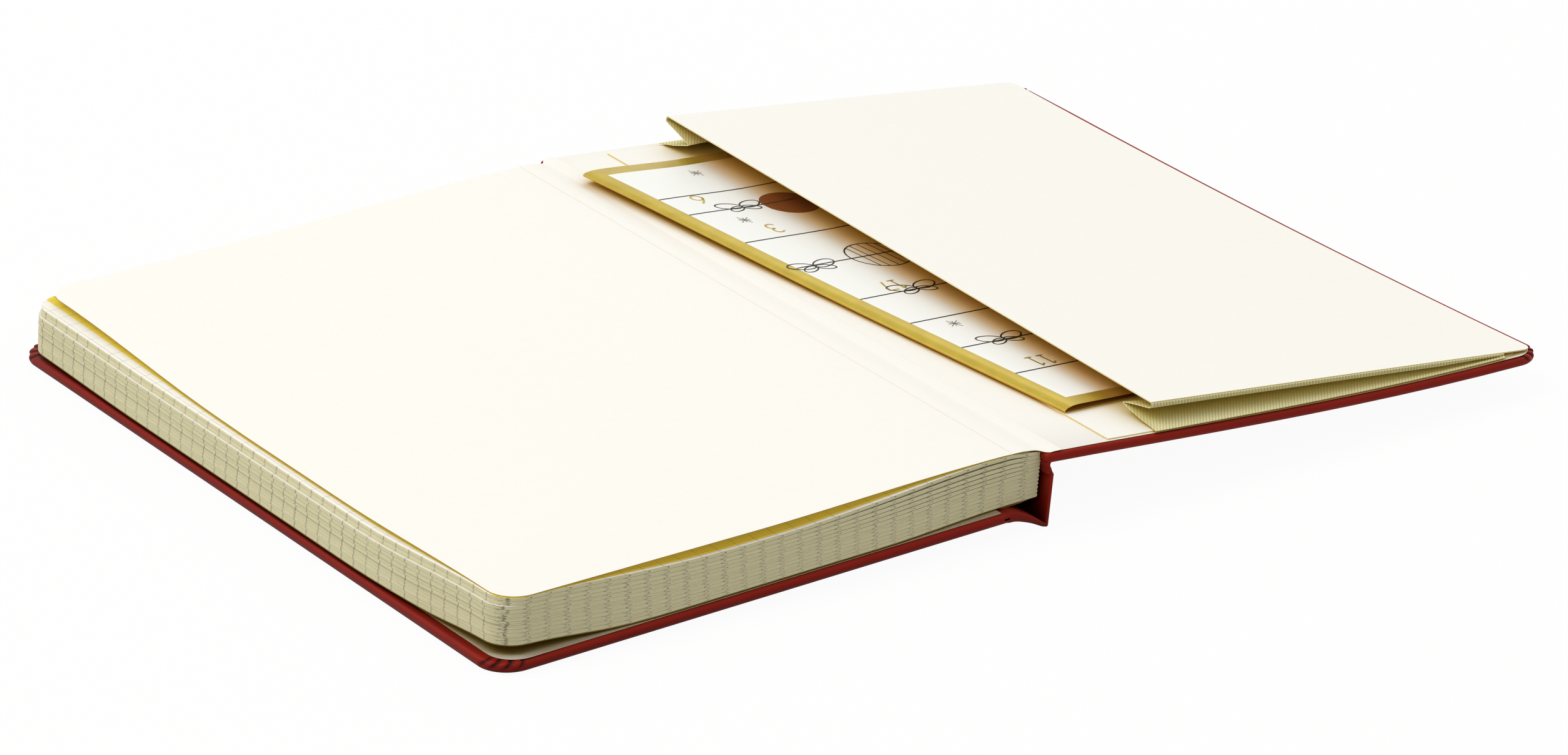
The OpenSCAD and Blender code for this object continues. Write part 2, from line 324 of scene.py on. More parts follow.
def sheet_plan(width, length, radius, rows, cols):
    """Grid of (x, y) over a sheet whose two corners at x = 0 are round."""
    arc = radius * (1 - np.cos(np.linspace(0, math.pi / 2, 9)))
    xs = np.concatenate([arc, np.linspace(radius, width, rows)[1:]])
    inset = np.where(xs < radius, radius - np.sqrt(np.maximum(radius ** 2 - (radius - xs) ** 2, 0)), 0)
    ys = np.sin(np.linspace(-math.pi / 2, math.pi / 2, cols))
    grid_x = np.repeat(xs[:, None], cols, 1)
    return grid_x, ys[None, :] * (length / 2 - inset)[:, None]


# Materials


def add(tree, kind, inputs=None, **settings):
    """Adds a node with its settings. An input takes a value, a socket, or a whole node, which stands
    for its first output in use."""
    node = tree.nodes.new(kind)
    for key, value in settings.items():
        setattr(node, key, value)
    for key, value in (inputs or {}).items():
        if isinstance(value, bpy.types.Node):
            value = next(socket for socket in value.outputs if socket.enabled)
        if isinstance(value, bpy.types.NodeSocket):
            tree.links.new(value, node.inputs[key])
        else:
            node.inputs[key].default_value = value
    return node


def begin(name):
    """A new material's node tree, with nothing in it."""
    material = bpy.data.materials.new(name)
    material.use_nodes = True
    material.node_tree.nodes.clear()
    return material, material.node_tree


def finish_surface(material, shader_inputs):
    """Ends a material with its shader and output."""
    tree = material.node_tree
    shader = add(tree, "ShaderNodeBsdfPrincipled", shader_inputs)
    add(tree, "ShaderNodeOutputMaterial", {"Surface": shader})
    return material


def in_shade(tree, colour, shade, reach, dark=0.3, clear=0.95):
    """Painted shade: a colour that turns into a shade colour where ambient occlusion within reach finds
    near surfaces, deep in folds and gaps.
    """
    depth = add(tree, "ShaderNodeAmbientOcclusion", {"Distance": reach * MM}, samples=3)
    amount = add(tree, "ShaderNodeMapRange", {0: depth.outputs["AO"], 1: dark, 2: clear},
                 interpolation_type="SMOOTHSTEP")
    mixed = add(tree, "ShaderNodeMix", {0: amount, 6: shade, 7: colour}, data_type="RGBA")
    return mixed


def leatherette_material(name, colour):
    """Bookbinder's leatherette: paper with an embossed polyurethane coating.

    The embossing gives a fine pebble grain with a satin gloss. Shade is painted into the colour: near-black
    in the corners' pleats, and a darker red where ambient occlusion finds near surfaces.
    """
    material, tree = begin(name)
    place = add(tree, "ShaderNodeTexCoord").outputs["Object"]
    # pebbles 0.55 mm across
    pebble = add(tree, "ShaderNodeTexVoronoi", {"Vector": place, "Scale": 1 / (0.55 * MM)},
                 feature="SMOOTH_F1")
    # uneven colour in patches 9 mm across
    cloud = add(tree, "ShaderNodeTexNoise", {"Vector": place, "Scale": 1 / (9 * MM), "Detail": 3.0})
    fine = add(tree, "ShaderNodeTexNoise", {"Vector": place, "Scale": 1 / (0.2 * MM), "Detail": 2.0})
    dark = dimmed(colour, 0.72)
    tint = add(tree, "ShaderNodeMix", {0: cloud, 6: dark, 7: colour}, data_type="RGBA")
    # painted shade in the pleats: the colour turns almost black where a pleat of a corner folds in
    pleat_shade = add(tree, "ShaderNodeAttribute", attribute_name="pleat_shade")
    deep = dimmed(colour, 0.12)
    skin = add(tree, "ShaderNodeMix", {0: pleat_shade.outputs["Fac"], 6: tint, 7: deep},
               data_type="RGBA")
    # painted shade: ambient occlusion within 10 mm, from the floor and the leaves, darkens the red further
    skin_with_painted_shade = in_shade(tree, skin, deep, 10, 0.15, 0.9)
    height = add(tree, "ShaderNodeMath", {0: pebble.outputs["Distance"], 1: fine},
                 operation="ADD")
    bump = add(tree, "ShaderNodeBump", {"Height": height, "Strength": 0.35,
                                        "Distance": 0.05 * MM})
    return finish_surface(material, {"Base Color": skin_with_painted_shade, "Roughness": 0.5,
                                     "Specular IOR Level": 0.13, "Normal": bump})


def paper_nodes(tree, colour, edge_colour):
    """Colour and bump of smooth uncoated paper, with another colour on its cut edges."""
    place = add(tree, "ShaderNodeTexCoord")
    # formation of the fibres, in flocks 1.5 mm across
    flock = add(tree, "ShaderNodeTexNoise", {"Vector": place.outputs["Object"],
                                             "Scale": 1 / (1.5 * MM), "Detail": 4.0})
    low = dimmed(colour, 0.975)
    face = add(tree, "ShaderNodeMix", {0: flock, 6: low, 7: colour}, data_type="RGBA")
    upright = add(tree, "ShaderNodeSeparateXYZ", {0: place.outputs["Normal"]})
    flatness = add(tree, "ShaderNodeMath", {0: upright.outputs[2]}, operation="ABSOLUTE")
    is_face = add(tree, "ShaderNodeMapRange", {0: flatness, 1: 0.45, 2: 0.75})
    both = add(tree, "ShaderNodeMix", {0: is_face, 6: edge_colour, 7: face},
               data_type="RGBA")
    bump = add(tree, "ShaderNodeBump", {"Height": flock, "Strength": 0.12,
                                        "Distance": 0.02 * MM})
    return both, bump, is_face


def endpaper_material(name="endpaper_uncoated_calendered", shade="#D2AE50", reach=11, dark=0.3,
                      clear=0.95):
    """Uncoated offset paper of 120 g, calendered: matt and even. Its cut edges are painted ochre as shade,
    and it turns a painted warm shade in narrow gaps.
    """
    material, tree = begin(name)
    # painted shade: the cut edges are ochre, for the shadow line along a sheet's edge
    colour, bump, _ = paper_nodes(tree, list(colours().endpaper), linear("#C8AE52"))
    # painted warm shade: the paper turns ochre within 11 mm of near surfaces
    with_painted_shade = in_shade(tree, colour, linear(shade), reach, dark, clear)
    return finish_surface(material, {"Base Color": with_painted_shade, "Roughness": 0.8, "Normal": bump,
                                     "Specular IOR Level": 0.2})


def card_material():
    """Manila card of the pocket: cream face, and the yellow core shows where it is cut."""
    material, tree = begin("pocket_card_cut")
    colour, bump, _ = paper_nodes(tree, list(colours().endpaper), linear("#F2E8B8"))
    # painted warm shade: within 12 mm of near surfaces, under the panel and along the leaflet, the card
    # turns yellow
    with_painted_shade = in_shade(tree, colour, linear("#ECD274"), 12, 0.15, 0.85)
    return finish_surface(material, {"Base Color": with_painted_shade, "Roughness": 0.75, "Normal": bump,
                                     "Specular IOR Level": 0.2})


def ruling_nodes(tree, spot, is_face):
    """How much of the ruling's ink shows: 1 on a line, 0 between the lines."""
    axes = add(tree, "ShaderNodeSeparateXYZ", {0: spot})
    square = sizes().square
    lines = None
    for axis, first in enumerate(FIRST_LINES):
        from_line = add(tree, "ShaderNodeMath", {0: axes.outputs[axis], 1: first * MM},
                        operation="SUBTRACT")
        repeat = add(tree, "ShaderNodeMath", {0: from_line, 1: square, 2: 0.0}, operation="WRAP")
        other = add(tree, "ShaderNodeMath", {0: square, 1: repeat}, operation="SUBTRACT")
        near = add(tree, "ShaderNodeMath", {0: repeat, 1: other}, operation="MINIMUM")
        # half width 0.11 mm on the face, and 0.36 mm on the cut edges, where the ink spreads
        half = add(tree, "ShaderNodeMapRange", {0: is_face, 3: 0.36 * MM, 4: 0.11 * MM})
        line = add(tree, "ShaderNodeMapRange", {0: near, 1: half, 2: 0.02 * MM, 3: 0.0, 4: 1.0})
        lines = line if lines is None else add(tree, "ShaderNodeMath", {0: lines, 1: line},
                                               operation="MAXIMUM")
    patchy = add(tree, "ShaderNodeTexNoise", {"Vector": spot, "Scale": 1 / (3 * MM)})
    laid = add(tree, "ShaderNodeMapRange", {0: patchy, 1: 0.3, 2: 0.7, 3: 0.4, 4: 1.0})
    leaf_ink = add(tree, "ShaderNodeAttribute", attribute_name="ink")
    ink = add(tree, "ShaderNodeMath", {0: laid, 1: leaf_ink.outputs["Fac"]}, operation="MULTIPLY")
    return add(tree, "ShaderNodeMath", {0: lines, 1: ink}, operation="MULTIPLY")


def painted_glow_mask_nodes(tree):
    """Mask of the painted warm glow: 1 where the free endpaper covers the top leaf or has just left it
    bare, 0 elsewhere.
    """
    at = add(tree, "ShaderNodeSeparateXYZ", {0: add(tree, "ShaderNodeTexCoord").outputs["Object"]})
    aside = add(tree, "ShaderNodeMath", {0: at.outputs[1]}, operation="ABSOLUTE")
    within = add(tree, "ShaderNodeMapRange", {0: aside, 1: (LEAF_LEN / 2 + 0.15) * MM,
                                              2: (LEAF_LEN / 2 - 0.15) * MM})
    edge = add(tree, "ShaderNodeMapRange", {0: at.outputs[1], 1: 0.0, 2: 102 * MM,
                                            3: (0.9 - MID_X) * MM, 4: (3.0 - MID_X) * MM},
               interpolation_type="SMOOTHSTEP")
    past = add(tree, "ShaderNodeMath", {0: at.outputs[0], 1: edge}, operation="SUBTRACT")
    past_edge = add(tree, "ShaderNodeMapRange", {0: past, 1: 0.0, 2: 0.35 * MM})
    before = add(tree, "ShaderNodeMath", {0: at.outputs[0], 1: (133.0 - MID_X) * MM},
                 operation="LESS_THAN")
    along = add(tree, "ShaderNodeMath", {0: past_edge, 1: before}, operation="MULTIPLY")
    covered = add(tree, "ShaderNodeMath", {0: within, 1: along}, operation="MULTIPLY")
    top = add(tree, "ShaderNodeAttribute", attribute_name="under_flyleaf")
    return add(tree, "ShaderNodeMath", {0: covered, 1: top.outputs["Fac"]}, operation="MULTIPLY")


def leaf_material():
    """Squared writing paper, printed, sewn and trimmed.

    The printed lines run out at the trimmed edges, where they make columns of grey marks.
    Attributes: print_place is the place on the printed sheet, tone the darkness of a leaf's edge,
    random and with painted shade on each section's bottom leaf, ink the strength of its lines, and
    under_flyleaf is 1 on the leaf below the free endpaper, which gets a painted warm glow. The cut
    edges also take painted shade in the narrow gaps between leaves.
    """
    material, tree = begin("squared_paper_trimmed")
    colour, bump, is_face = paper_nodes(tree, list(colours().leaf), list(colours().leaf_edge))
    spot = add(tree, "ShaderNodeAttribute", attribute_name="print_place").outputs["Vector"]
    tone = add(tree, "ShaderNodeAttribute", attribute_name="tone")
    shaded = add(tree, "ShaderNodeMix", {0: 1.0, 6: colour, 7: tone.outputs["Fac"]},
                 data_type="RGBA", blend_type="MULTIPLY")
    ruled = add(tree, "ShaderNodeMix", {0: ruling_nodes(tree, spot, is_face), 6: shaded,
                                        7: list(colours().ruling)}, data_type="RGBA")
    # painted glow: where the free endpaper covers the top leaf, or has just left it bare, the leaf is
    # tinted gold and given a faint emission, as warm light between the two sheets
    inside = painted_glow_mask_nodes(tree)
    painted_glow = add(tree, "ShaderNodeMix", {0: 0.95, 6: ruled, 7: linear("#D9C42C")}, data_type="RGBA",
               blend_type="MULTIPLY")
    with_painted_glow = add(tree, "ShaderNodeMix", {0: inside, 6: ruled, 7: painted_glow}, data_type="RGBA")
    # painted glow: a faint emission on the same leaf
    light = add(tree, "ShaderNodeMath", {0: inside, 1: 0.28}, operation="MULTIPLY")
    # painted shade: the cut edges darken to olive where ambient occlusion finds the next leaves within 1.2
    # mm
    with_painted_shade = in_shade(tree, with_painted_glow, linear("#A89348"), 1.2, 0.05, 0.55)
    return finish_surface(material, {"Base Color": with_painted_shade, "Roughness": 0.85, "Normal": bump,
                                     "Specular IOR Level": 0.15, "Emission Color": painted_glow,
                                     "Emission Strength": light})


def cloth_material():
    """Ribbed book cloth, woven and starched: fine twill ribs, matt, with painted olive shade in the grooves
    between the ribs and in narrow gaps.
    """
    material, tree = begin("ribbed_book_cloth_woven")
    place = add(tree, "ShaderNodeTexCoord").outputs["Object"]
    turned = add(tree, "ShaderNodeMapping", {"Vector": place, "Rotation": (0.0, 0.0, math.radians(35))})
    # twill ribs 0.7 mm apart, crossed by a finer thread
    rib = add(tree, "ShaderNodeTexWave", {"Vector": turned, "Scale": 0.31 / (0.7 * MM),
                                          "Distortion": 0.6, "Detail": 1.0}, bands_direction="X")
    thread = add(tree, "ShaderNodeTexNoise", {"Vector": place, "Scale": 1 / (0.25 * MM)})
    pale = list(colours().cloth)
    # painted shade: the grooves between the ribs are olive
    low = dimmed(pale, 0.72, 0.72, 0.58)
    colour = add(tree, "ShaderNodeMix", {0: rib.outputs["Fac"], 6: low, 7: pale}, data_type="RGBA")
    height = add(tree, "ShaderNodeMath", {0: rib.outputs["Fac"], 1: thread}, operation="ADD")
    bump = add(tree, "ShaderNodeBump", {"Height": height, "Strength": 0.5,
                                        "Distance": 0.08 * MM})
    # painted shade: olive-gold within 5 mm of near surfaces, in the gusset's V and under the panel
    with_painted_shade = in_shade(tree, colour, linear("#D2BC50"), 5, 0.1, 0.7)
    return finish_surface(material, {"Base Color": with_painted_shade, "Roughness": 0.9,
                                     "Normal": bump, "Specular IOR Level": 0.1})


def board_material():
    """Greyboard, made of pulped waste paper and pressed: grey, with dark and pale flecks."""
    material, tree = begin("greyboard_pressed")
    place = add(tree, "ShaderNodeTexCoord").outputs["Object"]
    fleck = add(tree, "ShaderNodeTexNoise", {"Vector": place, "Scale": 1 / (0.6 * MM), "Detail": 5.0})
    grey = list(colours().board)
    low = dimmed(grey, 0.7)
    colour = add(tree, "ShaderNodeMix", {0: fleck, 6: low, 7: grey}, data_type="RGBA")
    return finish_surface(material, {"Base Color": colour, "Roughness": 0.9,
                                     "Specular IOR Level": 0.2})


def woven_material(name, hex_colour, pitch, strength):
    """Plain weave or fibre of the hidden binding: gauze, kraft paper and linen thread."""
    material, tree = begin(name)
    place = add(tree, "ShaderNodeTexCoord").outputs["Object"]
    grid = add(tree, "ShaderNodeTexVoronoi", {"Vector": place, "Scale": 1 / (pitch * MM),
                                              "Randomness": 0.15})
    pale = linear(hex_colour)
    low = dimmed(pale, strength)
    colour = add(tree, "ShaderNodeMix", {0: grid.outputs["Distance"], 6: pale, 7: low},
                 data_type="RGBA")
    return finish_surface(material, {"Base Color": colour, "Roughness": 0.9,
                                     "Specular IOR Level": 0.2})


def leaflet_material():
    """Art paper, glazed and offset printed, with a border of hot-stamped gold foil.

    Attribute leaflet_place is (distance from the fold, distance from the tail end) in metres.
    """
    material, tree = begin("art_paper_foil_stamped")
    spot = add(tree, "ShaderNodeAttribute", attribute_name="leaflet_place")
    axes = add(tree, "ShaderNodeSeparateXYZ", {0: spot.outputs["Vector"]})
    border = sizes().border
    from_head = add(tree, "ShaderNodeMath", {0: LEAFLET_LEN * MM, 1: axes.outputs[1]},
                    operation="SUBTRACT")
    ends = add(tree, "ShaderNodeMath", {0: axes.outputs[1], 1: from_head},
               operation="MINIMUM")
    nearest = add(tree, "ShaderNodeMath", {0: ends, 1: axes.outputs[0]}, operation="MINIMUM")
    foil = add(tree, "ShaderNodeMath", {0: nearest, 1: border}, operation="LESS_THAN")
    # painted shade of the panel: the paper turns gold-brown towards the pocket's mouth, beginning 17 mm
    # from the fold at the tail and 31 mm from it at the head
    run = add(tree, "ShaderNodeMath", {0: axes.outputs[1], 1: -0.1, 2: axes.outputs[0]},
              operation="MULTIPLY_ADD")
    shade = add(tree, "ShaderNodeMapRange", {0: run, 1: 14 * MM, 2: 27 * MM},
                interpolation_type="SMOOTHSTEP")
    paper = add(tree, "ShaderNodeMix", {0: shade, 6: linear("#F8FAF8"),
                                        7: linear("#C79F52")}, data_type="RGBA")
    brushed = add(tree, "ShaderNodeTexNoise", {"Vector": spot.outputs["Vector"],
                                               "Scale": 1 / (6 * MM), "Detail": 2.0})
    gold = list(colours().foil)
    deep_gold = dimmed(gold, 0.7, 0.64, 0.45)
    metal = add(tree, "ShaderNodeMix", {0: brushed, 6: deep_gold, 7: gold},
                data_type="RGBA")
    colour = add(tree, "ShaderNodeMix", {0: foil, 6: paper,
                                         7: metal}, data_type="RGBA")
    metallic = add(tree, "ShaderNodeMath", {0: foil, 1: 0.6}, operation="MULTIPLY")
    # painted warm shade: gold-tan within 12 mm of near surfaces, under the panel's mouth
    with_painted_shade = in_shade(tree, colour, linear("#E2B054"), 12, 0.15, 0.8)
    return finish_surface(material, {"Base Color": with_painted_shade, "Roughness": 0.32,
                                     "Metallic": metallic, "Specular IOR Level": 0.3})


def print_material(name, colour, metallic, roughness):
    """Offset ink or stamped foil on the leaflet, with a slightly uneven laydown."""
    material, tree = begin(name)
    place = add(tree, "ShaderNodeTexCoord").outputs["Object"]
    mottle = add(tree, "ShaderNodeTexNoise", {"Vector": place, "Scale": 1 / (0.8 * MM)})
    low = dimmed(colour, 0.8)
    tint = add(tree, "ShaderNodeMix", {0: mottle, 6: low, 7: colour}, data_type="RGBA")
    return finish_surface(material, {"Base Color": tint, "Metallic": metallic,
                                     "Roughness": roughness})


def finish_node(node, material):
    """Gives a carried-over node of the frame its material."""
    mesh_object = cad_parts[node]
    for index in range(max(1, len(mesh_object.material_slots))):
        if index >= len(mesh_object.data.materials):
            mesh_object.data.materials.append(material)
        else:
            mesh_object.material_slots[index].material = material


def named_material(name, maker):
    """The material of that name, made when it is first asked for."""
    return bpy.data.materials.get(name) or maker()


def cover_leather():
    """The leatherette of the covers and of the spine strip."""
    name = "leatherette_embossed"
    return named_material(name, lambda: leatherette_material(name, list(colours().leatherette)))


def front_endpaper_painted_shade():
    """The front endpaper, its colour painted towards a golden brown shade by ambient occlusion within 60
    mm, for the deep shade below the leaves; open and clear of them it keeps about a tenth of that shade.
    """
    name = "endpaper_calendered_front_painted_shade"
    return named_material(name, lambda: endpaper_material(name, "#7C6420", 60, 0.64, 1.08))


# Covers


def cover_outline(width, length, inset, corner=COVER_R, arc_points=28, straight_points=10):
    """Outline of a cover inset by a distance: fore-edge at x = 0 with two large round corners.

    Returns the points and, for each, how far round a fore-edge corner it is (0 to 1), or -1.
    """
    spine_inset = min(inset, 1.2)
    corners = [
        (width - spine_inset, -length / 2 + inset, 1.0, 270, 360, False),
        (width - spine_inset, length / 2 - inset, 1.0, 0, 90, False),
        (inset, length / 2 - inset, corner, 90, 180, True),
        (inset, -length / 2 + inset, corner, 180, 270, True),
    ]
    points, around, last = [], [], set()
    for x, y, radius, start, end, is_fore in corners:
        r = max(radius - inset, 0.15)
        centre_x = x - r if x > width / 2 else x + r
        centre_y = y + r if y < 0 else y - r
        turns = np.linspace(math.radians(start), math.radians(end), arc_points if is_fore else 5)
        for k, a in enumerate(turns):
            points.append((centre_x + r * math.cos(a), centre_y + r * math.sin(a)))
            around.append(k / (len(turns) - 1) if is_fore else -1.0)
        last.add(len(points) - 1)
    full, full_around = [], []
    for i, here in enumerate(points):
        full.append(here)
        full_around.append(around[i])
        there = points[(i + 1) % len(points)]
        if i in last:
            for t in np.linspace(0, 1, straight_points + 2)[1:-1]:
                full.append((here[0] + (there[0] - here[0]) * t, here[1] + (there[1] - here[1]) * t))
                full_around.append(-1.0)
    return np.array(full), np.array(full_around)


# Folds at a cover's corner: how far round it they lie, and how deep they are
PLEATS = ((0.1, 0.42), (0.33, 0.52), (0.58, 0.5), (0.84, 0.42))


def pleat_depth(around, height):
    """Depth of the folds that gather the leatherette round a corner, at a height over the edge."""
    depth = np.zeros_like(around)
    lean = (height / WRAPPED_T - 0.5) * 0.16
    reach = float(step(0.5, 1.7, height))
    for at, amount in PLEATS:
        away = around - at - lean
        fold = np.where(away < 0, np.exp(-(away / 0.02) ** 2), np.exp(-(away / 0.11) ** 2))
        depth = np.maximum(depth, amount * fold)
    return np.where(around < 0, 0, depth * reach)


def cover_rings(width, profile, pleated, corner):
    """Rings of a cover's skin over a profile of (inset, height) steps, and for each point how much painted
    shade its pleat gets.
    """
    rings, pleat_shades = [], []
    for inset, height in profile:
        plain, around = cover_outline(width, COVER_LEN, inset, corner)
        depth = pleat_depth(around, height) if pleated and inset < 3 else np.zeros(len(around))
        sunk, _ = cover_outline(width, COVER_LEN, inset + 1.0, corner)
        ring = plain + (sunk - plain) * depth[:, None]
        lower = height - depth * 0.5 * float(height > WRAPPED_T - 0.4)
        rings.append(np.stack([ring[:, 0], ring[:, 1], np.broadcast_to(lower, len(ring))], 1))
        # painted shade: the deeper a pleat, the darker it is painted
        pleat_shades.append(np.clip(depth / 0.4, 0, 1) ** 2)
    return np.array(rings), np.concatenate(pleat_shades)


def quarter(radius, centre, start, count=6):
    """Quarter circle of (inset, height) steps round centre, from start degrees on."""
    turns = np.radians(np.linspace(start, start + 90, count))
    return [(centre[0] - radius * math.cos(a), centre[1] + radius * math.sin(a)) for a in turns]


# Insets of the rings that carry a cover's wide face from the rim to its middle
WIDE = (20.0, 40.0, 60.0, 80.0, 100.0)


def wide_face(height):
    """Steps of a profile over a cover's wide face, at one height."""
    return [(inset, height) for inset in WIDE]


def wrap_profile(edge_round, turn_in):
    """From the middle of the outside face over the rounded edge to the turn-in, and back inside."""
    top = WRAPPED_T
    outer = wide_face(0.0)[::-1] + [(4.0, 0.0)]
    outer += quarter(edge_round, (edge_round, edge_round), -90)
    outer += quarter(edge_round, (edge_round, top - edge_round), 0)
    outer += [(1.6, top), (3.0, top), (5.0, top), (turn_in, top)]
    r = edge_round - WRAP_T
    inner = [(turn_in, top - WRAP_T), (5.0, top - WRAP_T)]
    inner += quarter(r, (edge_round, top - edge_round), 0)[::-1]
    inner += quarter(r, (edge_round, edge_round), -90)[::-1]
    inner += [(4.0, WRAP_T)] + wide_face(WRAP_T)
    return outer + inner


def board_profile(edge_round):
    """A solid board inside the leatherette."""
    inset = WRAP_T + 0.45
    r = edge_round - inset
    top = WRAPPED_T - inset
    steps = wide_face(inset)[::-1] + quarter(r, (edge_round, edge_round), -90)
    steps += quarter(r, (edge_round, WRAPPED_T - edge_round), 0) + wide_face(top)
    return steps


# How the rear cover lies: it bows down between spine and fore-edge by a quarter of REAR_BOW, and its
# fore-edge falls by HEAD_DROP from tail to head, with a quarter of EDGE_SAG on top half-way
REAR_BOW = 5.8
HEAD_DROP = 1.2
EDGE_SAG = 5.2


def far_drop(y):
    """How much lower the rear cover's fore-edge lies than at its tail end."""
    v = np.asarray(y, float) / COVER_LEN + 0.5
    return HEAD_DROP * v + EDGE_SAG * v * (1 - v)


def rear_bow(s, y):
    """How far the rear cover bows down, at a distance s from its spine side."""
    u = np.clip(np.asarray(s, float) / REAR_END, 0, 1) ** 1.35
    return REAR_BOW * u * (1 - u) + u * far_drop(y)


def as_rear(points):
    """Points of a cover drawn from its fore-edge, set into the rear cover's frame."""
    out = np.array(points, float)
    out[..., 0] = REAR_END + REAR_SPARE - out[..., 0]
    out[..., 2] -= COVER_T + rear_bow(out[..., 0], out[..., 1])
    return out


def cover_plan(side):
    """Width of a cover's outline and radius of its corners.

    The rear cover's leatherette is also drawn round the spine-side end of its board, and the front
    cover's last millimetres belong to its joint.
    """
    if side == "rear":
        return BOARD_W + (3.0 + REAR_SPARE), REAR_COVER_R
    return BOARD_W - 2.6, COVER_R


def pasted_sheet(side):
    """Rings of a pasted endpaper, cut a little smaller than its cover.

    The front one lies askew, and leaves more of the turned-in leatherette bare at the fore-edge and
    at the head.
    """
    inset, width = (0.8, BOARD_W + REAR_SPARE + 1.6) if side == "rear" else (1.0, BOARD_W - 4.2)
    profile = wide_face(WRAPPED_T + 0.01)[::-1]
    profile += [(inset + 0.05, WRAPPED_T + 0.01), (inset, WRAPPED_T + 0.05), (inset, COVER_T - 0.04),
                (inset + 0.05, COVER_T)] + wide_face(COVER_T)
    rings, _ = cover_rings(width, profile, False, cover_plan(side)[1])
    at_edge = 1 - step(5, 60, rings[..., 0])
    if side == "rear":
        rings[..., 0] += at_edge
        return as_rear(rings)
    y = rings[..., 1].copy()
    rings[..., 0] += (1.6 + step(-60, 60, y)) * at_edge
    rings[..., 1] -= 1.6 * step(0, COVER_LEN / 2, y)
    return rings


class NOTEBOOK_OT_covers(bpy.types.Operator):
    """Builds both covers: leatherette with pleated corners, board and pasted endpaper."""

    bl_idname = "notebook.covers"
    bl_label = "Covers"

    def execute(self, context):
        edge_round, turn_in = sizes().edge_round / MM, sizes().turn_in / MM
        red, grey, cream = cover_leather(), board_material(), endpaper_material()
        for side, place in COVER_PLACES.items():
            width, corner = cover_plan(side)
            rings, pleat_shades = cover_rings(width, wrap_profile(edge_round, turn_in), True, corner)
            board_rings, _ = cover_rings(width, board_profile(edge_round), False, corner)
            if side == "rear":
                rings, board_rings = as_rear(rings), as_rear(board_rings)
            # the leatherette carries the painted shade of its pleats as a point attribute
            wrap = new_piece(side + "_cover_leatherette", *loft(rings), place, red,
                             attributes={"pleat_shade": pleat_shades})
            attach(wrap, side + "_cover")
            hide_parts(side + "_wrap")
            board = new_piece(side + "_cover_board", *loft(board_rings), place, grey)
            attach(board, side + "_cover")
            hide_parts(side + "_board")
        for side, paper in (("front", front_endpaper_painted_shade()), ("rear", cream)):
            sheet = new_piece(side + "_pasted_endpaper", *loft(pasted_sheet(side)),
                              COVER_PLACES[side], paper)
            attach(sheet, side + "_cover")
            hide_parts(side + "_pastedown")
        return {"FINISHED"}


# Spine and joints

# Cross-sections of the joints' leatherette, as (x, z): the front one thins from the board's edge down
# to the foot of the strip, and the rear one is a narrow neck from the top of the strip into the cover
FRONT_JOINT_UNDER = [
    (130.4, 3.9), (131.6, 3.42), (132.4, 3.4), (133.4, 3.36), (134.6, 3.08), (135.8, 2.66),
    (137.0, 2.24), (138.2, 1.74), (139.4, 1.14), (140.4, 0.6), (141.2, 0.22), (142.0, 0.06)]
FRONT_JOINT_OVER = [
    (130.4, 5.5), (131.6, 6.0), (132.4, 6.06), (133.4, 5.95), (134.6, 5.6), (135.8, 5.06),
    (137.0, 4.4), (138.2, 3.68), (139.4, 2.86), (140.4, 2.1), (141.2, 1.5), (142.0, 1.1)]
REAR_JOINT_INNER = [(142.25, 12.7), (142.25, 13.4), (142.2, 14.0), (142.05, 14.6), (142.0, 15.2),
                    (142.3, 15.9)]
REAR_JOINT_OUTER = [(143.6, 12.7), (143.6, 13.4), (143.35, 14.1), (143.0, 14.7), (143.15, 15.3),
                    (143.6, 15.8)]


def strip_rings(inset):
    """Rings of the spine strip, or of the card inside it, set in from the outside by a distance."""
    # the leatherette is pressed thin over the card, so that the strip looks 1 mm thick
    low_x, high_x = -1.0 + inset, -inset
    low_z, high_z = inset, STRIP_LEN - inset
    r = 0.42 if inset == 0 else 0.15
    outline = np.array([(x + r * math.cos(a), z + r * math.sin(a))
                        for x, z, start in ((high_x - r, low_z + r, -90), (high_x - r, high_z - 2 * r, 0),
                                            (low_x + r, high_z - r, 90), (low_x + r, low_z + r, 180))
                        for a in np.radians(np.linspace(start, start + 90, 5))])
    centre = outline.mean(0)
    half = COVER_LEN / 2
    rings = []
    for y in np.concatenate([[-half + inset, -half + inset + 0.15, -half + inset + 0.5],
                             np.linspace(-half + 2, half - 2, 20),
                             [half - inset - 0.5, half - inset - 0.15, half - inset]]):
        reach = min(half - inset - abs(y), 0.5) / 0.5
        pull = 0.4 * (1 - math.sqrt(max(0.0, 1 - (1 - reach) ** 2)))
        size = 1 - pull / np.maximum(np.abs(outline - centre).max(0), 0.5)
        ring = centre + (outline - centre) * size
        rings.append(np.stack([ring[:, 0], np.full(len(ring), y), ring[:, 1]], 1))
    return rings


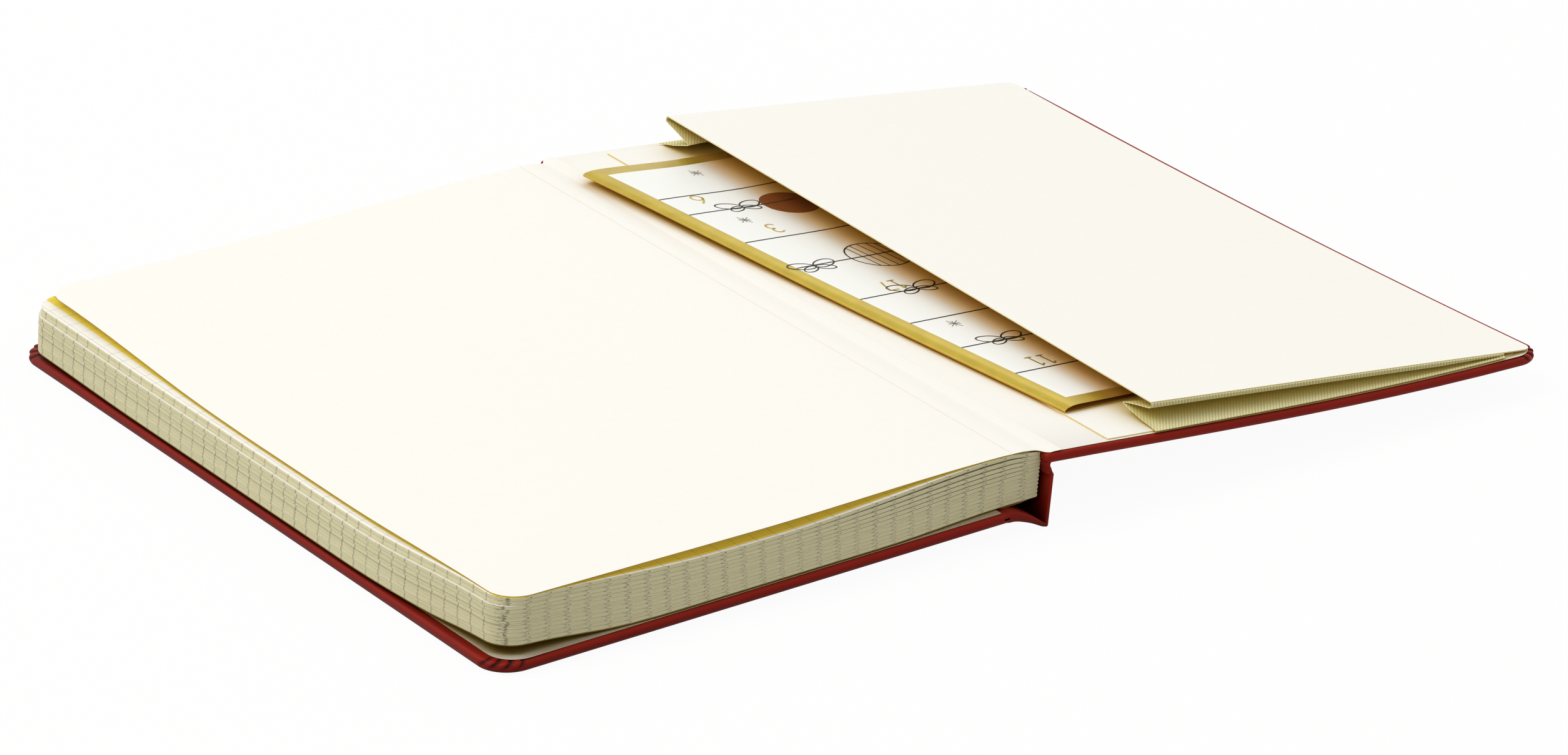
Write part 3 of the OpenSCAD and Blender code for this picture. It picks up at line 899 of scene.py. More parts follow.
class NOTEBOOK_OT_spine(bpy.types.Operator):
    """Builds the spine strip and the two joints of bare leatherette beside it."""

    bl_idname = "notebook.spine"
    bl_label = "Spine and joints"

    def execute(self, context):
        red = cover_leather()
        # painted shade: the joints' leatherette is the covers' red cut to 90 %, for the shade that lies in
        # the joints
        joint_painted_shade = leatherette_material("leatherette_joint_painted_shade", dimmed(colours().leatherette, 0.9))
        grey = named_material("greyboard_pressed", board_material)
        for name, inset, material, node, slot in (
                ("spine_strip_leatherette", 0.0, red, "spine_wrap", "red_leatherette"),
                ("spine_strip_card", 0.28, grey, "spine_card", "greyboard")):
            piece = new_piece(name, *loft(strip_rings(inset)), SPINE_STRIP, material)
            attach(piece, "text_block")
            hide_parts(node)
        half = COVER_LEN / 2
        for side, section, reach, bend in (
                ("front", band(FRONT_JOINT_UNDER, FRONT_JOINT_OVER, 22), half,
                 ((141.6, 0, 0.6), (132.8, 0, 4.8))),
                ("rear", band(REAR_JOINT_INNER, REAR_JOINT_OUTER, 18), half - 0.3,
                 ((142.9, 0, 13.3), (142.6, 0, 15.3)))):
            joint = new_piece(side + "_joint_leatherette", *loft(along_y(section, -reach, reach)), WHOLE,
                              joint_painted_shade)
            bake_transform(joint)
            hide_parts(side + "_joint_cloth")
        return {"FINISHED"}


# Leaves


def block_sag(x, y, q):
    """How the pile of leaves settles: (outward x, outward y, down), q from 0 at the bottom to 1.

    The corner by the tail stays curled up, the spine is held by its lining, and the middle of the
    fore-edge and of the tail sink on to the cover.
    """
    corner = np.hypot(x, y + LEAF_LEN / 2)
    lifted = step(4, 32 + 26 * q, corner)
    held = 1 - step(70, 136, x)
    down = (1.5 + 0.5 * q) * lifted * held
    # the pile may not sink into the cover, which rises towards the spine
    down = np.minimum(down, np.maximum(1.95 - 0.015 * x, 0) + 1.3 * q)
    middle = step(-100, -42, y) * (1 - 0.3 * step(50, 102, y))
    out_x = -(2.5 - 1.0 * q) * middle * np.clip(1 - x / 120, 0, 1)
    edge = step(6, 44, x) * (1 - step(98, 136, x))
    out_y = -(1.9 - 1.0 * q) * edge * np.clip(0.5 - y / LEAF_LEN, 0, 1)
    # the back of the pile leans with the spine strip
    out_x = out_x - 1.1 * (1 - q) * step(30, 140, x)
    return out_x, out_y, down


# Height by which each of the upper sections stands off the one below, near the spine
GAPS = {6: 0.04, 7: 0.08, 8: 0.12, 9: 0.16, 10: 0.24, 11: 0.36}
ALL_GAPS = sum(GAPS.values())


def swelling(x, lift):
    """Extra height near the spine, where the upper sections stand apart and then round off."""
    fall = np.clip((x - 128) / 12.8, 0, None) ** 2.6
    return lift * (step(64, 122, x) - fall)


def past_lining(x, y):
    """How far the ends of the sections swell past the spine lining towards the strip."""
    end = LEAF_LEN / 2 - np.abs(y)
    return 2.1 * step(131, LEAF_W, x) * (1 - step(2.2, 7.5, end))


def begin_tree(name, inputs, output):
    """A new geometry node tree with named inputs and one output, and its inputs' sockets."""
    tree = bpy.data.node_groups.new(name, "GeometryNodeTree")
    for key, kind in inputs:
        tree.interface.new_socket(key, in_out="INPUT", socket_type="NodeSocket" + kind)
    tree.interface.new_socket(output, in_out="OUTPUT", socket_type="NodeSocketGeometry")
    return tree, add(tree, "NodeGroupInput").outputs


def end_tree(tree, copies, material, output):
    """Makes the copies of a tree real, gives them their material and puts them out."""
    solid = add(tree, "GeometryNodeRealizeInstances", {"Geometry": copies})
    dressed = add(tree, "GeometryNodeSetMaterial", {"Geometry": solid, "Material": material})
    add(tree, "NodeGroupOutput", {output: dressed})
    return tree


def leaf_tree():
    """Geometry nodes: a pile of one leaf, each copy nudged out of line by a seeded amount."""
    tree, given = begin_tree("leaf_pile", (("Leaf", "Geometry"), ("Leaves", "Int"), ("Pitch", "Float"),
                                           ("Shift", "Float"), ("Seed", "Int"),
                                           ("Material", "Material")), "Pile")
    rise = add(tree, "ShaderNodeCombineXYZ", {"Z": given["Pitch"]})
    line = add(tree, "GeometryNodeMeshLine", {"Count": given["Leaves"], "Offset": rise})
    back = add(tree, "ShaderNodeMath", {0: given["Shift"], 1: -1.0}, operation="MULTIPLY")
    low = add(tree, "ShaderNodeCombineXYZ", {"X": back, "Y": back})
    high = add(tree, "ShaderNodeCombineXYZ", {"X": given["Shift"], "Y": given["Shift"]})
    nudge = add(tree, "FunctionNodeRandomValue", {0: low, 1: high, "Seed": given["Seed"]},
                data_type="FLOAT_VECTOR")
    moved = add(tree, "GeometryNodeSetPosition", {"Geometry": line, "Offset": nudge})
    copies = add(tree, "GeometryNodeInstanceOnPoints", {"Points": moved, "Instance": given["Leaf"]})
    number = add(tree, "GeometryNodeInputIndex")
    counted = add(tree, "GeometryNodeStoreNamedAttribute",
                  {"Geometry": copies, "Name": "leaf_number", "Value": number},
                  data_type="FLOAT", domain="INSTANCE")
    return end_tree(tree, counted, given["Material"], "Pile")


def pattern_object(name, points, faces):
    """A small object for a geometry node tree to repeat."""
    mesh = bpy.data.meshes.new(name)
    mesh.from_pydata((points * MM).tolist(), [], faces)
    pattern = bpy.data.objects.new(name, mesh)
    bpy.context.scene.collection.objects.link(pattern)
    return pattern


def run_tree(tree, base, values):
    """The plain mesh that a geometry node tree makes of a base object, with its inputs set."""
    modifier = base.modifiers.new(tree.name, "NODES")
    modifier.node_group = tree
    by_name = {item.name: item.identifier for item in tree.interface.items_tree
               if item.item_type == "SOCKET" and item.in_out == "INPUT"}
    for name, value in values.items():
        modifier[by_name[name]] = value
    graph = bpy.context.evaluated_depsgraph_get()
    mesh = bpy.data.meshes.new_from_object(base.evaluated_get(graph), depsgraph=graph)
    base.modifiers.remove(modifier)
    return mesh


def mesh_points(mesh):
    """A mesh's points in millimetres."""
    flat = np.zeros(len(mesh.vertices) * 3, np.float32)
    mesh.vertices.foreach_get("co", flat)
    return flat.reshape(-1, 3).astype(float) / MM


def leaf_numbers(mesh):
    """For each point of a pile, the number of its leaf from the bottom."""
    number = np.zeros(len(mesh.vertices), np.float32)
    mesh.attributes["leaf_number"].data.foreach_get("value", number)
    return np.rint(number).astype(int)


def print_attributes(p, number, section, count, chance):
    """Attributes of a section's leaves: the print's place, the edges' tone (random, with painted shade on
    the bottom leaf), the strength of the ink.
    """
    # the print creeps outwards on the inner sheets of a folded section
    half = (count - 1) / 2
    creep = PRINT_CREEP * (np.abs(number - half) / half - 0.5)
    slip = chance.uniform(-SECTION_SLIP, SECTION_SLIP, 2)
    per_leaf = chance.uniform(-LEAF_SLIP, LEAF_SLIP, (count, 2))
    ink = chance.uniform(0.45, 1.0, count)
    printed = np.stack([p[:, 0] + creep + slip[0] + per_leaf[number, 0],
                        p[:, 1] + slip[1] + per_leaf[number, 1], np.zeros(len(p))], 1) * MM
    tones_and_gap_shade = chance.uniform(0.94, 1.0, count)
    # painted shade: the bottom leaf of each section is darker at its edges, for the gap between sections;
    # the other tones vary at random
    tones_and_gap_shade[0] *= chance.uniform(0.6, 0.92)
    is_last = (section == SECTION_COUNT - 1) & (number == count - 1)
    return {"print_place": printed, "tone": tones_and_gap_shade[number], "ink": ink[number],
            "under_flyleaf": is_last.astype(float)}


def settled_section(p, section):
    """Points of a section with its back rounded by the fold, where the pile sags and swells."""
    mid = (p[:, 2] - SECTION_T / 2) / (SECTION_T / 2)
    fold = SECTION_T / 2 * (1 - np.sqrt(np.clip(1 - mid ** 2, 0, 1)))
    x = p[:, 0] - fold * step(LEAF_W - 6, LEAF_W, p[:, 0])
    z = section * SECTION_T + p[:, 2]
    out_x, out_y, down = block_sag(x, p[:, 1], z / BLOCK_T)
    # the two top sections stand back at the fore-edge and show a ledge of the one below
    at_edge = np.clip(1 - x / 60, 0, 1)
    back = 0.75 * (section >= SECTION_COUNT - 2) * at_edge + 0.06 * math.sin(2.4 * section) * at_edge
    lift = sum(gap for key, gap in GAPS.items() if section >= key)
    x = x + past_lining(p[:, 0], p[:, 1])
    return np.stack([x + out_x + back, p[:, 1] + out_y, z - down + swelling(x, lift)], 1)


class NOTEBOOK_OT_leaves(bpy.types.Operator):
    """Builds the sewn sections as piles of single leaves, settled on the front cover."""

    bl_idname = "notebook.leaves"
    bl_label = "Leaves"

    def execute(self, context):
        paper = leaf_material()
        count = sizes().leaves_per_section
        pitch = SECTION_T / count
        grid_x, grid_y = sheet_plan(LEAF_W, LEAF_LEN, LEAF_R, 22, 30)
        flat = np.stack([grid_x, grid_y, np.full_like(grid_x, pitch * LEAF_SHARE)], 2)
        leaf = pattern_object("leaf", *sheet_solid(flat, flat * [1, 1, 0]))
        tree = leaf_tree()
        chance = np.random.default_rng(11)
        for section in range(SECTION_COUNT):
            pile = run_tree(tree, leaf, {"Leaves": count, "Pitch": pitch * MM,
                                         "Shift": sizes().leaf_shift, "Seed": section,
                                         "Material": paper})
            p = mesh_points(pile)
            marks = print_attributes(p, leaf_numbers(pile), section, count, chance)
            faces = [tuple(f.vertices) for f in pile.polygons]
            piece = new_piece("sewn_section_%02d" % (section + 1), settled_section(p, section), faces,
                              LEAF_BLOCK, paper, 30, marks)
            bpy.data.meshes.remove(pile)
            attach(piece, "text_block")
            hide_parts("section_%02d" % (section + 1))
        bpy.data.objects.remove(leaf)
        finish_node("sewing_thread", woven_material("linen_thread_twisted", "#F2EFE2", 0.2, 0.8))
        finish_node("spine_mull", woven_material("mull_gauze_woven", "#E2DDCB", 0.7, 0.6))
        finish_node("spine_lining", woven_material("kraft_paper_pressed", "#B79B6C", 0.9, 0.85))
        return {"FINISHED"}


# Endpapers


def rear_free_sheet():
    """Upper face of the top leaf: straight from its curled corner, and swollen over the sections.

    It sags at the fore-edge, and stands back there towards the head.
    """
    x, y = sheet_plan(FLYLEAF_W, LEAF_LEN, LEAF_R, 40, 60)
    dip = 1.5 * step(-96, -35, y) * (1 - 0.8 * step(25, 92, y))
    dip = dip * (1 - step(2, 75, x))
    set_back = (LEAF_W - FLYLEAF_W + 2.3 * step(0, 102, y)) * (1 - step(0, 60, x))
    return np.stack([x + set_back, y, BLOCK_T + 0.03 + FLYLEAF_T - dip + swelling(x, ALL_GAPS)], 2)


def front_free_sheet():
    """Upper face of the front free leaf, which lies against the underside of the pile."""
    x, y = sheet_plan(FLYLEAF_W, LEAF_LEN, LEAF_R, 40, 60)
    out_x, out_y, down = block_sag(x, y, 0.0)
    return np.stack([x + out_x, y + out_y, -0.03 - down], 2)


def over_leaves(x):
    """Height at which the rear fold lies just over the top leaf."""
    lean = math.radians(-LEAF_BLOCK[2])
    top = LEAF_BLOCK[1] + BLOCK_T * math.cos(lean) + x * math.tan(lean)
    start = 0.17 * (1 - float(step(133.5, 138, x)))
    return float(top + swelling(x, ALL_GAPS)) + FLYLEAF_T + 0.18 - start


def fold_lines():
    """For each endpaper's fold over its joint, points as (x, height, reach along Y)."""
    inner, outer = LEAF_LEN / 2, COVER_LEN / 2 - 0.6
    front = [(x, z, inner) for x, z in ((139.0, 6.62), (138.0, 6.45), (136.6, 6.28), (135.2, 6.2),
                                        (133.4, 6.17), (131.5, 6.13))]
    rear = [(x, over_leaves(x), inner) for x in (134.5, 136, 137.4, 138.6, 139.6, 140.5)]
    rear += [(141.4, 17.95, inner + 0.4), (142.1, 17.88, inner + 1.6), (142.9, 17.93, outer),
             (144.2, 17.95, outer), (146.2, 17.84, outer)]
    return front, rear


class NOTEBOOK_OT_endpapers(bpy.types.Operator):
    """Builds the free leaves of both endpapers and their folds across the joints."""

    bl_idname = "notebook.endpapers"
    bl_label = "Endpapers"

    def execute(self, context):
        cream = named_material("endpaper_uncoated_calendered", endpaper_material)
        shaded = front_endpaper_painted_shade()
        for name, upper, paper, body, node in (
                ("rear_free_endpaper", rear_free_sheet(), cream, "text_block", "rear_flyleaf"),
                ("front_free_endpaper", front_free_sheet(), shaded, "front_flyleaf", "front_flyleaf")):
            sheet = new_piece(name, *sheet_solid(upper, upper - [0, 0, FLYLEAF_T]), LEAF_BLOCK, paper)
            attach(sheet, body)
            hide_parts(node)

        front, rear = fold_lines()
        for side, line, pivot, paper in (("front", front, (138.6, 133.6), shaded),
                                         ("rear", rear, (139.6, 143.2), cream)):
            rows = drawn_out(line, 40)
            upper = np.stack([np.repeat(rows[:, :1], 40, 1), rows[:, 2:] * np.linspace(-1, 1, 40),
                              np.repeat(rows[:, 1:2], 40, 1)], 2)
            fold = new_piece(side + "_endpaper_fold", *sheet_solid(upper, upper - [0, 0, FOLD_T]),
                             WHOLE, paper)
            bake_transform(fold)
            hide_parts(side + "_endpaper_hinge")
        return {"FINISHED"}


# Pocket


# How the panel's mouth is raised at its tail, how much more at its head, and how the panel sags
MOUTH_LIFT = 0.4
MOUTH_TWIST = 1.8
PANEL_SAG = 0.35


def panel_height(s, y):
    """Height of the panel's underside above the cover at a distance from the spine."""
    v = np.asarray(y, float) / COVER_LEN + 0.5
    t = np.clip((s - MOUTH_S) / POCKET_DEPTH, 0, 1)
    twist = (MOUTH_LIFT + MOUTH_TWIST * v) * (1 - t) - (far_drop(y) + PANEL_SAG * t * t) * t
    return PANEL_FOLD_RISE + (PANEL_FOLD - s) * math.tan(PANEL_TILT) + twist


def gusset_profile(s, end, count):
    """(distance in from the cover's end, height) across a gusset's V, at a distance s from the spine."""
    mouth_s, panel_in, base_in, apex_in, y = end
    u = np.clip((s - mouth_s) / (GUSSET_END - mouth_s), 0, 1)
    top = float(panel_height(s, y)) - 0.03
    base = BACK_SHEET_T + 0.2 - float(rear_bow(s, y))
    edge = panel_in[0] + (panel_in[1] - panel_in[0]) * u
    foot = base_in[0] + (base_in[1] - base_in[0]) * u
    apex = apex_in[0] + (apex_in[1] - apex_in[0]) * u ** 0.85
    drop = min(1.1, (top - base) * 0.5)
    mid = base + (top - drop - base) * 0.55
    points = [(edge + 0.2, top), (edge - 0.12, top - 0.08), (edge - 0.14, top - 0.8 * drop),
              (edge + 0.25, top - drop), (edge + (apex - edge) * 0.5, (top - drop + mid) / 2 + 0.12),
              (apex - 0.5, mid + 0.18), (apex, mid), (apex - 0.5, mid - 0.22),
              (foot + (apex - foot) * 0.5, (mid + base) / 2 - 0.3), (foot + 0.8, base + 0.12), (foot, base)]
    return drawn_out(points, count)


# Each end of the pocket: where the mouth begins, then distances in from the cover's end, at the
# mouth and at the far end, of the panel's edge, of the gusset's foot and of the bottom of its V, and
# the end's place along Y
GUSSET_END = 131.8
GUSSET_POINTS = 41
POCKET_ENDS = {"tail": (31.3, (4.1, 1.7), (0.35, 0.8), (13.6, 2.6), -COVER_LEN / 2),
               "head": (34.7, (3.4, 1.9), (2.2, 1.6), (14.0, 3.0), COVER_LEN / 2)}


def panel_sheet():
    """Grid of points on the underside of the pocket's panel, drawn in the rear cover's frame."""
    (tail_s, tail_in, *_), (head_s, head_in, *_) = POCKET_ENDS["tail"], POCKET_ENDS["head"]
    radius = PANEL_R
    rows = []
    arc = radius * (1 - np.cos(np.linspace(0, math.pi / 2, 9)))[::-1]
    for t in np.concatenate([np.linspace(0, 1, 40)[:-1] * (1 - radius / POCKET_DEPTH),
                             1 - arc / POCKET_DEPTH]):
        tail_edge, head_edge = [-(COVER_LEN / 2) + a + (b - a) * min(t / 0.94, 1)
                                for a, b in (tail_in, head_in)]
        from_end = (1 - t) * POCKET_DEPTH
        cut_in = radius - math.sqrt(max(radius ** 2 - max(radius - from_end, 0) ** 2, 0))
        v = np.linspace(0, 1, 40)
        y = tail_edge + cut_in + (-head_edge - tail_edge - 2 * cut_in) * v
        s = tail_s + (head_s - tail_s) * v
        s = s + (PANEL_END - s) * t
        rows.append(np.stack([s, y, panel_height(s, y)], 1))
    return np.array(rows)


def fold_rings():
    """Rings of the cloth that joins panel and back sheet, folded round at the fore-edge."""
    rings = []
    for y in np.linspace(POCKET_Y - POCKET_LEN / 2 + COVER_R, POCKET_Y + POCKET_LEN / 2 - COVER_R, 24):
        low = 0.32 - float(rear_bow(138.5, y))
        high = float(panel_height(138.5, y)) - 0.05
        mid, half = (low + high) / 2, (high - low) / 2
        turns = np.radians(np.linspace(-90, 90, 7))
        outer = [(136.5, low)] + [(138.6 + 0.5 * math.cos(a), mid + half * math.sin(a))
                                  for a in turns] + [(136.5, high)]
        inner = [(x - 0.12 * (x > 138), z + 0.1 * (z < mid) - 0.1 * (z > mid)) for x, z in outer]
        rings.append([(x, y, z) for x, z in outer + inner[::-1]])
    return rings


def gusset_sheet(end, edge, turn):
    """Upper and lower grid of a gusset's cloth, folded in towards the middle of the pocket."""
    mouth_s = POCKET_ENDS[end][0]
    upper, lower = [], []
    for at in np.linspace(mouth_s, GUSSET_END, 56):
        profile = gusset_profile(at, POCKET_ENDS[end], GUSSET_POINTS)
        along = np.gradient(profile, axis=0)
        normal = np.stack([along[:, 1], -along[:, 0]], 1)
        normal /= np.maximum(np.linalg.norm(normal, axis=1), 1e-6)[:, None]
        # the mouth's edge of the cloth leans out at its base
        lean = -1.0 * (1 - step(mouth_s, mouth_s + 14, at)) * np.linspace(0, 1, GUSSET_POINTS)
        for side, rows in ((0.09, upper), (-0.09, lower)):
            moved = profile + normal * side
            rows.append(np.stack([at + lean, edge + turn * moved[:, 0], moved[:, 1]], 1))
    return upper, lower


def rib_tree():
    """Geometry nodes: one rib repeated along a row at a fixed pitch, shrinking towards its end."""
    tree, given = begin_tree("cloth_ribs", (("Rib", "Geometry"), ("Count", "Int"), ("Pitch", "Float"),
                                            ("Shrink", "Float"), ("Material", "Material")), "Ribs")
    along = add(tree, "ShaderNodeCombineXYZ", {"X": given["Pitch"]})
    line = add(tree, "GeometryNodeMeshLine", {"Count": given["Count"], "Offset": along})
    number = add(tree, "GeometryNodeInputIndex")
    share = add(tree, "ShaderNodeMath", {0: number, 1: given["Count"]}, operation="DIVIDE")
    loss = add(tree, "ShaderNodeMath", {0: share, 1: given["Shrink"]}, operation="MULTIPLY")
    tall = add(tree, "ShaderNodeMath", {0: 1.0, 1: loss}, operation="SUBTRACT")
    scale = add(tree, "ShaderNodeCombineXYZ", {"X": 1.0, "Y": 1.0, "Z": tall})
    copies = add(tree, "GeometryNodeInstanceOnPoints", {"Points": line, "Instance": given["Rib"],
                                                        "Scale": scale})
    return end_tree(tree, copies, given["Material"], "Ribs")


def rib_shape(pitch):
    """Points and faces of one corded rib of the cloth, which hangs down from its top."""
    radius, tall = pitch * 0.42, 0.95
    rings = []
    for t in np.arange(5) / 4:
        middle, half = 0.45 * (t - 0.5), radius * (0.55 + 0.45 * math.sin(math.pi * t))
        rings.append([(middle + half * math.cos(a), 0.16 * math.sin(a), -tall * t)
                      for a in np.linspace(0, math.pi * 2, 8, endpoint=False)])
    return loft(rings)


def rib_points(p, end, edge, turn):
    """Points of a row of ribs, laid along the band of cloth that hangs from the panel's edge."""
    at = POCKET_ENDS[end][0] + 0.6 + p[:, 0]
    inset = np.array([gusset_profile(s, POCKET_ENDS[end], GUSSET_POINTS)[8, 0] for s in at])
    return np.stack([at, edge + turn * (inset - 0.1) + p[:, 1],
                     panel_height(at, edge) - 0.06 + p[:, 2]], 1)


class NOTEBOOK_OT_pocket(bpy.types.Operator):
    """Builds the pocket: back sheet, panel, folded cloth and two gussets of ribbed cloth."""

    bl_idname = "notebook.pocket"
    bl_label = "Pocket"

    def execute(self, context):
        card = card_material()
        cloth = cloth_material()
        fold = new_piece("pocket_fold_cloth", *loft(fold_rings()), REAR_COVER, cloth)
        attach(fold, "rear_cover")
        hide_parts("pocket_fold_strip")
        grid_x, grid_y = sheet_plan(PANEL_FOLD - BACK_EDGE, POCKET_LEN, COVER_R, 40, 24)
        grid_x = PANEL_FOLD - grid_x
        upper = np.stack([grid_x, grid_y + POCKET_Y, BACK_SHEET_T - rear_bow(grid_x, grid_y)], 2)
        sheet = new_piece("pocket_back_card", *sheet_solid(upper, upper - [0, 0, BACK_SHEET_T - 0.01]),
                          REAR_COVER, card)
        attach(sheet, "rear_cover")
        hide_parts("pocket_back_sheet")
        under = panel_sheet()
        panel = new_piece("pocket_panel_card", *sheet_solid(under + [0, 0, PANEL_T], under),
                          REAR_COVER, card)
        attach(panel, "pocket_panel")
        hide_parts("pocket_panel")
        tree = rib_tree()
        pitch = sizes().rib_pitch / MM
        for end, turn in (("tail", 1), ("head", -1)):
            edge = -turn * COVER_LEN / 2
            piece = new_piece(end + "_gusset_cloth", *sheet_solid(*gusset_sheet(end, edge, turn)),
                              REAR_COVER, cloth)
            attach(piece, "rear_cover")
            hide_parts(end + "_gusset")
            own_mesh(piece)

            rib = pattern_object("rib", *rib_shape(pitch))
            row = run_tree(tree, rib, {"Count": int((GUSSET_END - POCKET_ENDS[end][0] - 1) / pitch),
                                       "Pitch": pitch * MM, "Shrink": 0.55, "Material": cloth})
            ribs = new_piece(end + "_gusset_ribs", rib_points(mesh_points(row), end, edge, turn),
                             [tuple(f.vertices) for f in row.polygons], REAR_COVER, cloth)
            bpy.data.objects.remove(rib)
            bpy.data.meshes.remove(row)
            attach(ribs, "rear_cover")
            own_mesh(ribs)
        return {"FINISHED"}


# Leaflet


# How far the leaflet gapes at its tail, how far its folded edge curls up at its head, and how far the
# ink lies over the sheet's middle
LEAFLET_GAPE = 1.25
LEAFLET_CURL = 1.3
INK_LEVEL = 0.2


def leaflet_lift(w, y):
    """Height of the leaflet's top face over its bottom, from its fold to where its halves meet."""
    open_end = 1 - 0.35 * step(20, 150, y)
    return 0.24 + LEAFLET_GAPE * open_end * step(-3, 4, w) * (1 - np.clip((w - 4) / 46, 0, 1))


def leaflet_curl(w, y):
    """How far the leaflet's folded edge curls up from the cover, most at its head."""
    return LEAFLET_CURL * step(60, LEAFLET_LEN, y) * (1 - step(0, 34, w))


def leaflet_points(w, y, h):
    """Points on the leaflet, from its own place (w from the fold, y from the tail end)."""
    c, s = math.cos(LEAFLET_TURN), math.sin(LEAFLET_TURN)
    x0, y0, z0 = LEAFLET_CORNER
    x, across = x0 + w * c - y * s, y0 + w * s + y * c
    # bedded on the board deep in the pocket, and held straight where it sticks out
    under = -COVER_LEN / 2 + (across + COVER_LEN / 2) * step(38, 80, w)
    return np.stack([x, across, z0 + h - rear_bow(x, under)], -1)


def press_flat(piece):
    """Gives a piece of the leaflet a mesh of its own."""
    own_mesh(piece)


def printed_strip(line, width):
    """Quads of a flat stroke along a line of (w, y) points on the leaflet's top face."""
    line = np.asarray(line, float)
    along = np.gradient(line, axis=0)
    along /= np.maximum(np.linalg.norm(along, axis=1), 1e-9)[:, None]
    side = np.stack([-along[:, 1], along[:, 0]], 1) * width / 2
    return np.stack([line + side, line - side], 1)


def printed_piece(name, strokes, material):
    """One thin solid of many strokes laid on the leaflet, each a (count, 2, 2) strip of points."""
    points, faces = [], []
    for strip in strokes:
        w, y = strip[..., 0], strip[..., 1]
        level = leaflet_lift(w, y) + leaflet_curl(w, y) + INK_LEVEL
        top, walls = sheet_solid(leaflet_points(w, y, level + 0.012), leaflet_points(w, y, level - 0.01))
        faces += [tuple(i + len(points) for i in f) for f in walls]
        points += top.tolist()
    piece = new_piece(name, points, faces, REAR_COVER, material)
    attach(piece, "leaflet")
    press_flat(piece)


def resampled(line, spacing=0.5):
    """A line of (w, y) points, with one every spacing along it."""
    line = np.asarray(line, float)
    lengths = np.concatenate([[0], np.cumsum(np.linalg.norm(np.diff(line, axis=0), axis=1))])
    t = np.linspace(0, lengths[-1], max(2, int(lengths[-1] / spacing) + 1))
    return np.stack([np.interp(t, lengths, line[:, i]) for i in (0, 1)], 1)


def loop(centre, radius, start=0.0, sweep=360.0, squeeze=1.0, turn=0.0):
    """Points of an arc or a ring, squeezed across and then turned, angles in degrees."""
    a = np.radians(np.linspace(start, start + sweep, 30))
    x, y = radius * np.cos(a), radius * squeeze * np.sin(a)
    c, s = math.cos(math.radians(turn)), math.sin(math.radians(turn))
    return np.stack([centre[0] + x * c - y * s, centre[1] + x * s + y * c], 1)


def numeral(digit):
    """Strokes of a plain digit in a box 2.4 wide and 4 high."""
    return {
        "1": [[(0.5, 3.2), (1.4, 4.0), (1.4, 0.0)], [(0.6, 0.0), (2.2, 0.0)]],
        "3": [loop((1.1, 3.0), 1.0, 150, -240), loop((1.1, 1.05), 1.1, 90, -240)],
        "6": [loop((1.2, 1.2), 1.15), [(2.0, 4.0), (1.0, 3.0), (0.3, 2.0), (0.06, 1.2)]],
        "7": [[(0.1, 4.0), (2.3, 4.0), (0.9, 0.0)]],
    }[digit]


# The print's places on the leaflet, as (distance from its fold, distance from its tail end)
DIVIDERS = (150, 138.5, 117.7, 98.8, 75.8, 58.0, 40.0, 21.4)
BOWS = ((21.3, 139.2, 5.6), (9.6, 98.0, 5.8), (22.2, 76.5, 6.0), (17.8, 40.6, 5.6))
BALL = (29.5, 98.8, 8.0)
DISC = (34.5, 137.2, 7.4)
STARS = ((27.3, 163.8), (15.2, 130.9), (13.9, 53.5))
NUMERALS = (("6", 14.4, 146.9), ("3", 18.3, 123.5), ("17", 18.4, 80.3), ("11", 16.3, 25.5))


def folded_sheet():
    """Outer and inner grid of the folded leaflet, and each point's own place on the paper."""
    flat = np.concatenate([np.linspace(LEAFLET_W, 30, 10), np.linspace(27, 1, 16)])
    arc = np.radians(np.linspace(-90, -270, 9))
    outer, inner, spots = [], [], []
    for y in np.linspace(0, LEAFLET_LEN, 46):
        fold = leaflet_lift(np.array(0.0), y) / 2
        over = leaflet_lift(flat[::-1], y)
        curve_w = np.concatenate([flat, 0.75 + fold * np.cos(arc) * 1.1, flat[::-1]])
        curve_h = np.concatenate([np.zeros(len(flat)), fold + fold * np.sin(arc), over])
        place = np.concatenate([flat, np.zeros(9), flat[::-1]])
        shift = np.stack([np.gradient(curve_h), -np.gradient(curve_w)], 1)
        shift /= np.maximum(np.linalg.norm(shift, axis=1), 1e-9)[:, None]
        curve_h = curve_h + 0.1 + leaflet_curl(np.maximum(place, 0), y)
        for way, rows in ((0.5, outer), (-0.5, inner)):
            rows.append(leaflet_points(curve_w + shift[:, 0] * LEAFLET_T * way, y,
                                       curve_h + shift[:, 1] * LEAFLET_T * way))
        spots.append(np.stack([place, np.full(len(place), y), np.zeros(len(place))], 1))
    return outer, inner, np.concatenate([np.concatenate(spots)] * 2) * MM


def dark_strokes(border):
    """The dark print: dividing lines, bows of four loops, and a ball with stripes."""
    lines = [printed_strip(resampled([(border, y), (52, y + 0.6)], 1.0), 0.5) for y in DIVIDERS]
    for w, y, size in BOWS:
        for turn, share in ((20, 1.0), (160, 1.0), (-25, 0.7), (205, 0.7)):
            radius, a = size * share * 0.62, math.radians(turn)
            centre = (w + radius * math.cos(a), y + radius * math.sin(a))
            lines.append(printed_strip(loop(centre, radius, squeeze=0.55, turn=turn), 0.42))
    w, y, radius = BALL
    lines.append(printed_strip(loop((w, y), radius), 0.4))
    for away in (-4.5, -2.5, 0, 2.5, 4.5):
        reach = math.sqrt(radius ** 2 - away ** 2)
        lines.append(printed_strip(resampled([(w + away, y - reach), (w + away, y + reach)]), 0.3))
    return lines


def star_strokes():
    """The grey stars: five strokes across one centre, long and short ones."""
    strokes = []
    for w, y in STARS:
        for turn in range(0, 180, 36):
            a = math.radians(turn)
            reach = 2.3 if turn % 72 else 1.6
            ends = [(w - reach * math.cos(a), y - reach * math.sin(a)),
                    (w + reach * math.cos(a), y + reach * math.sin(a))]
            strokes.append(printed_strip(resampled(ends), 0.26))
    return strokes


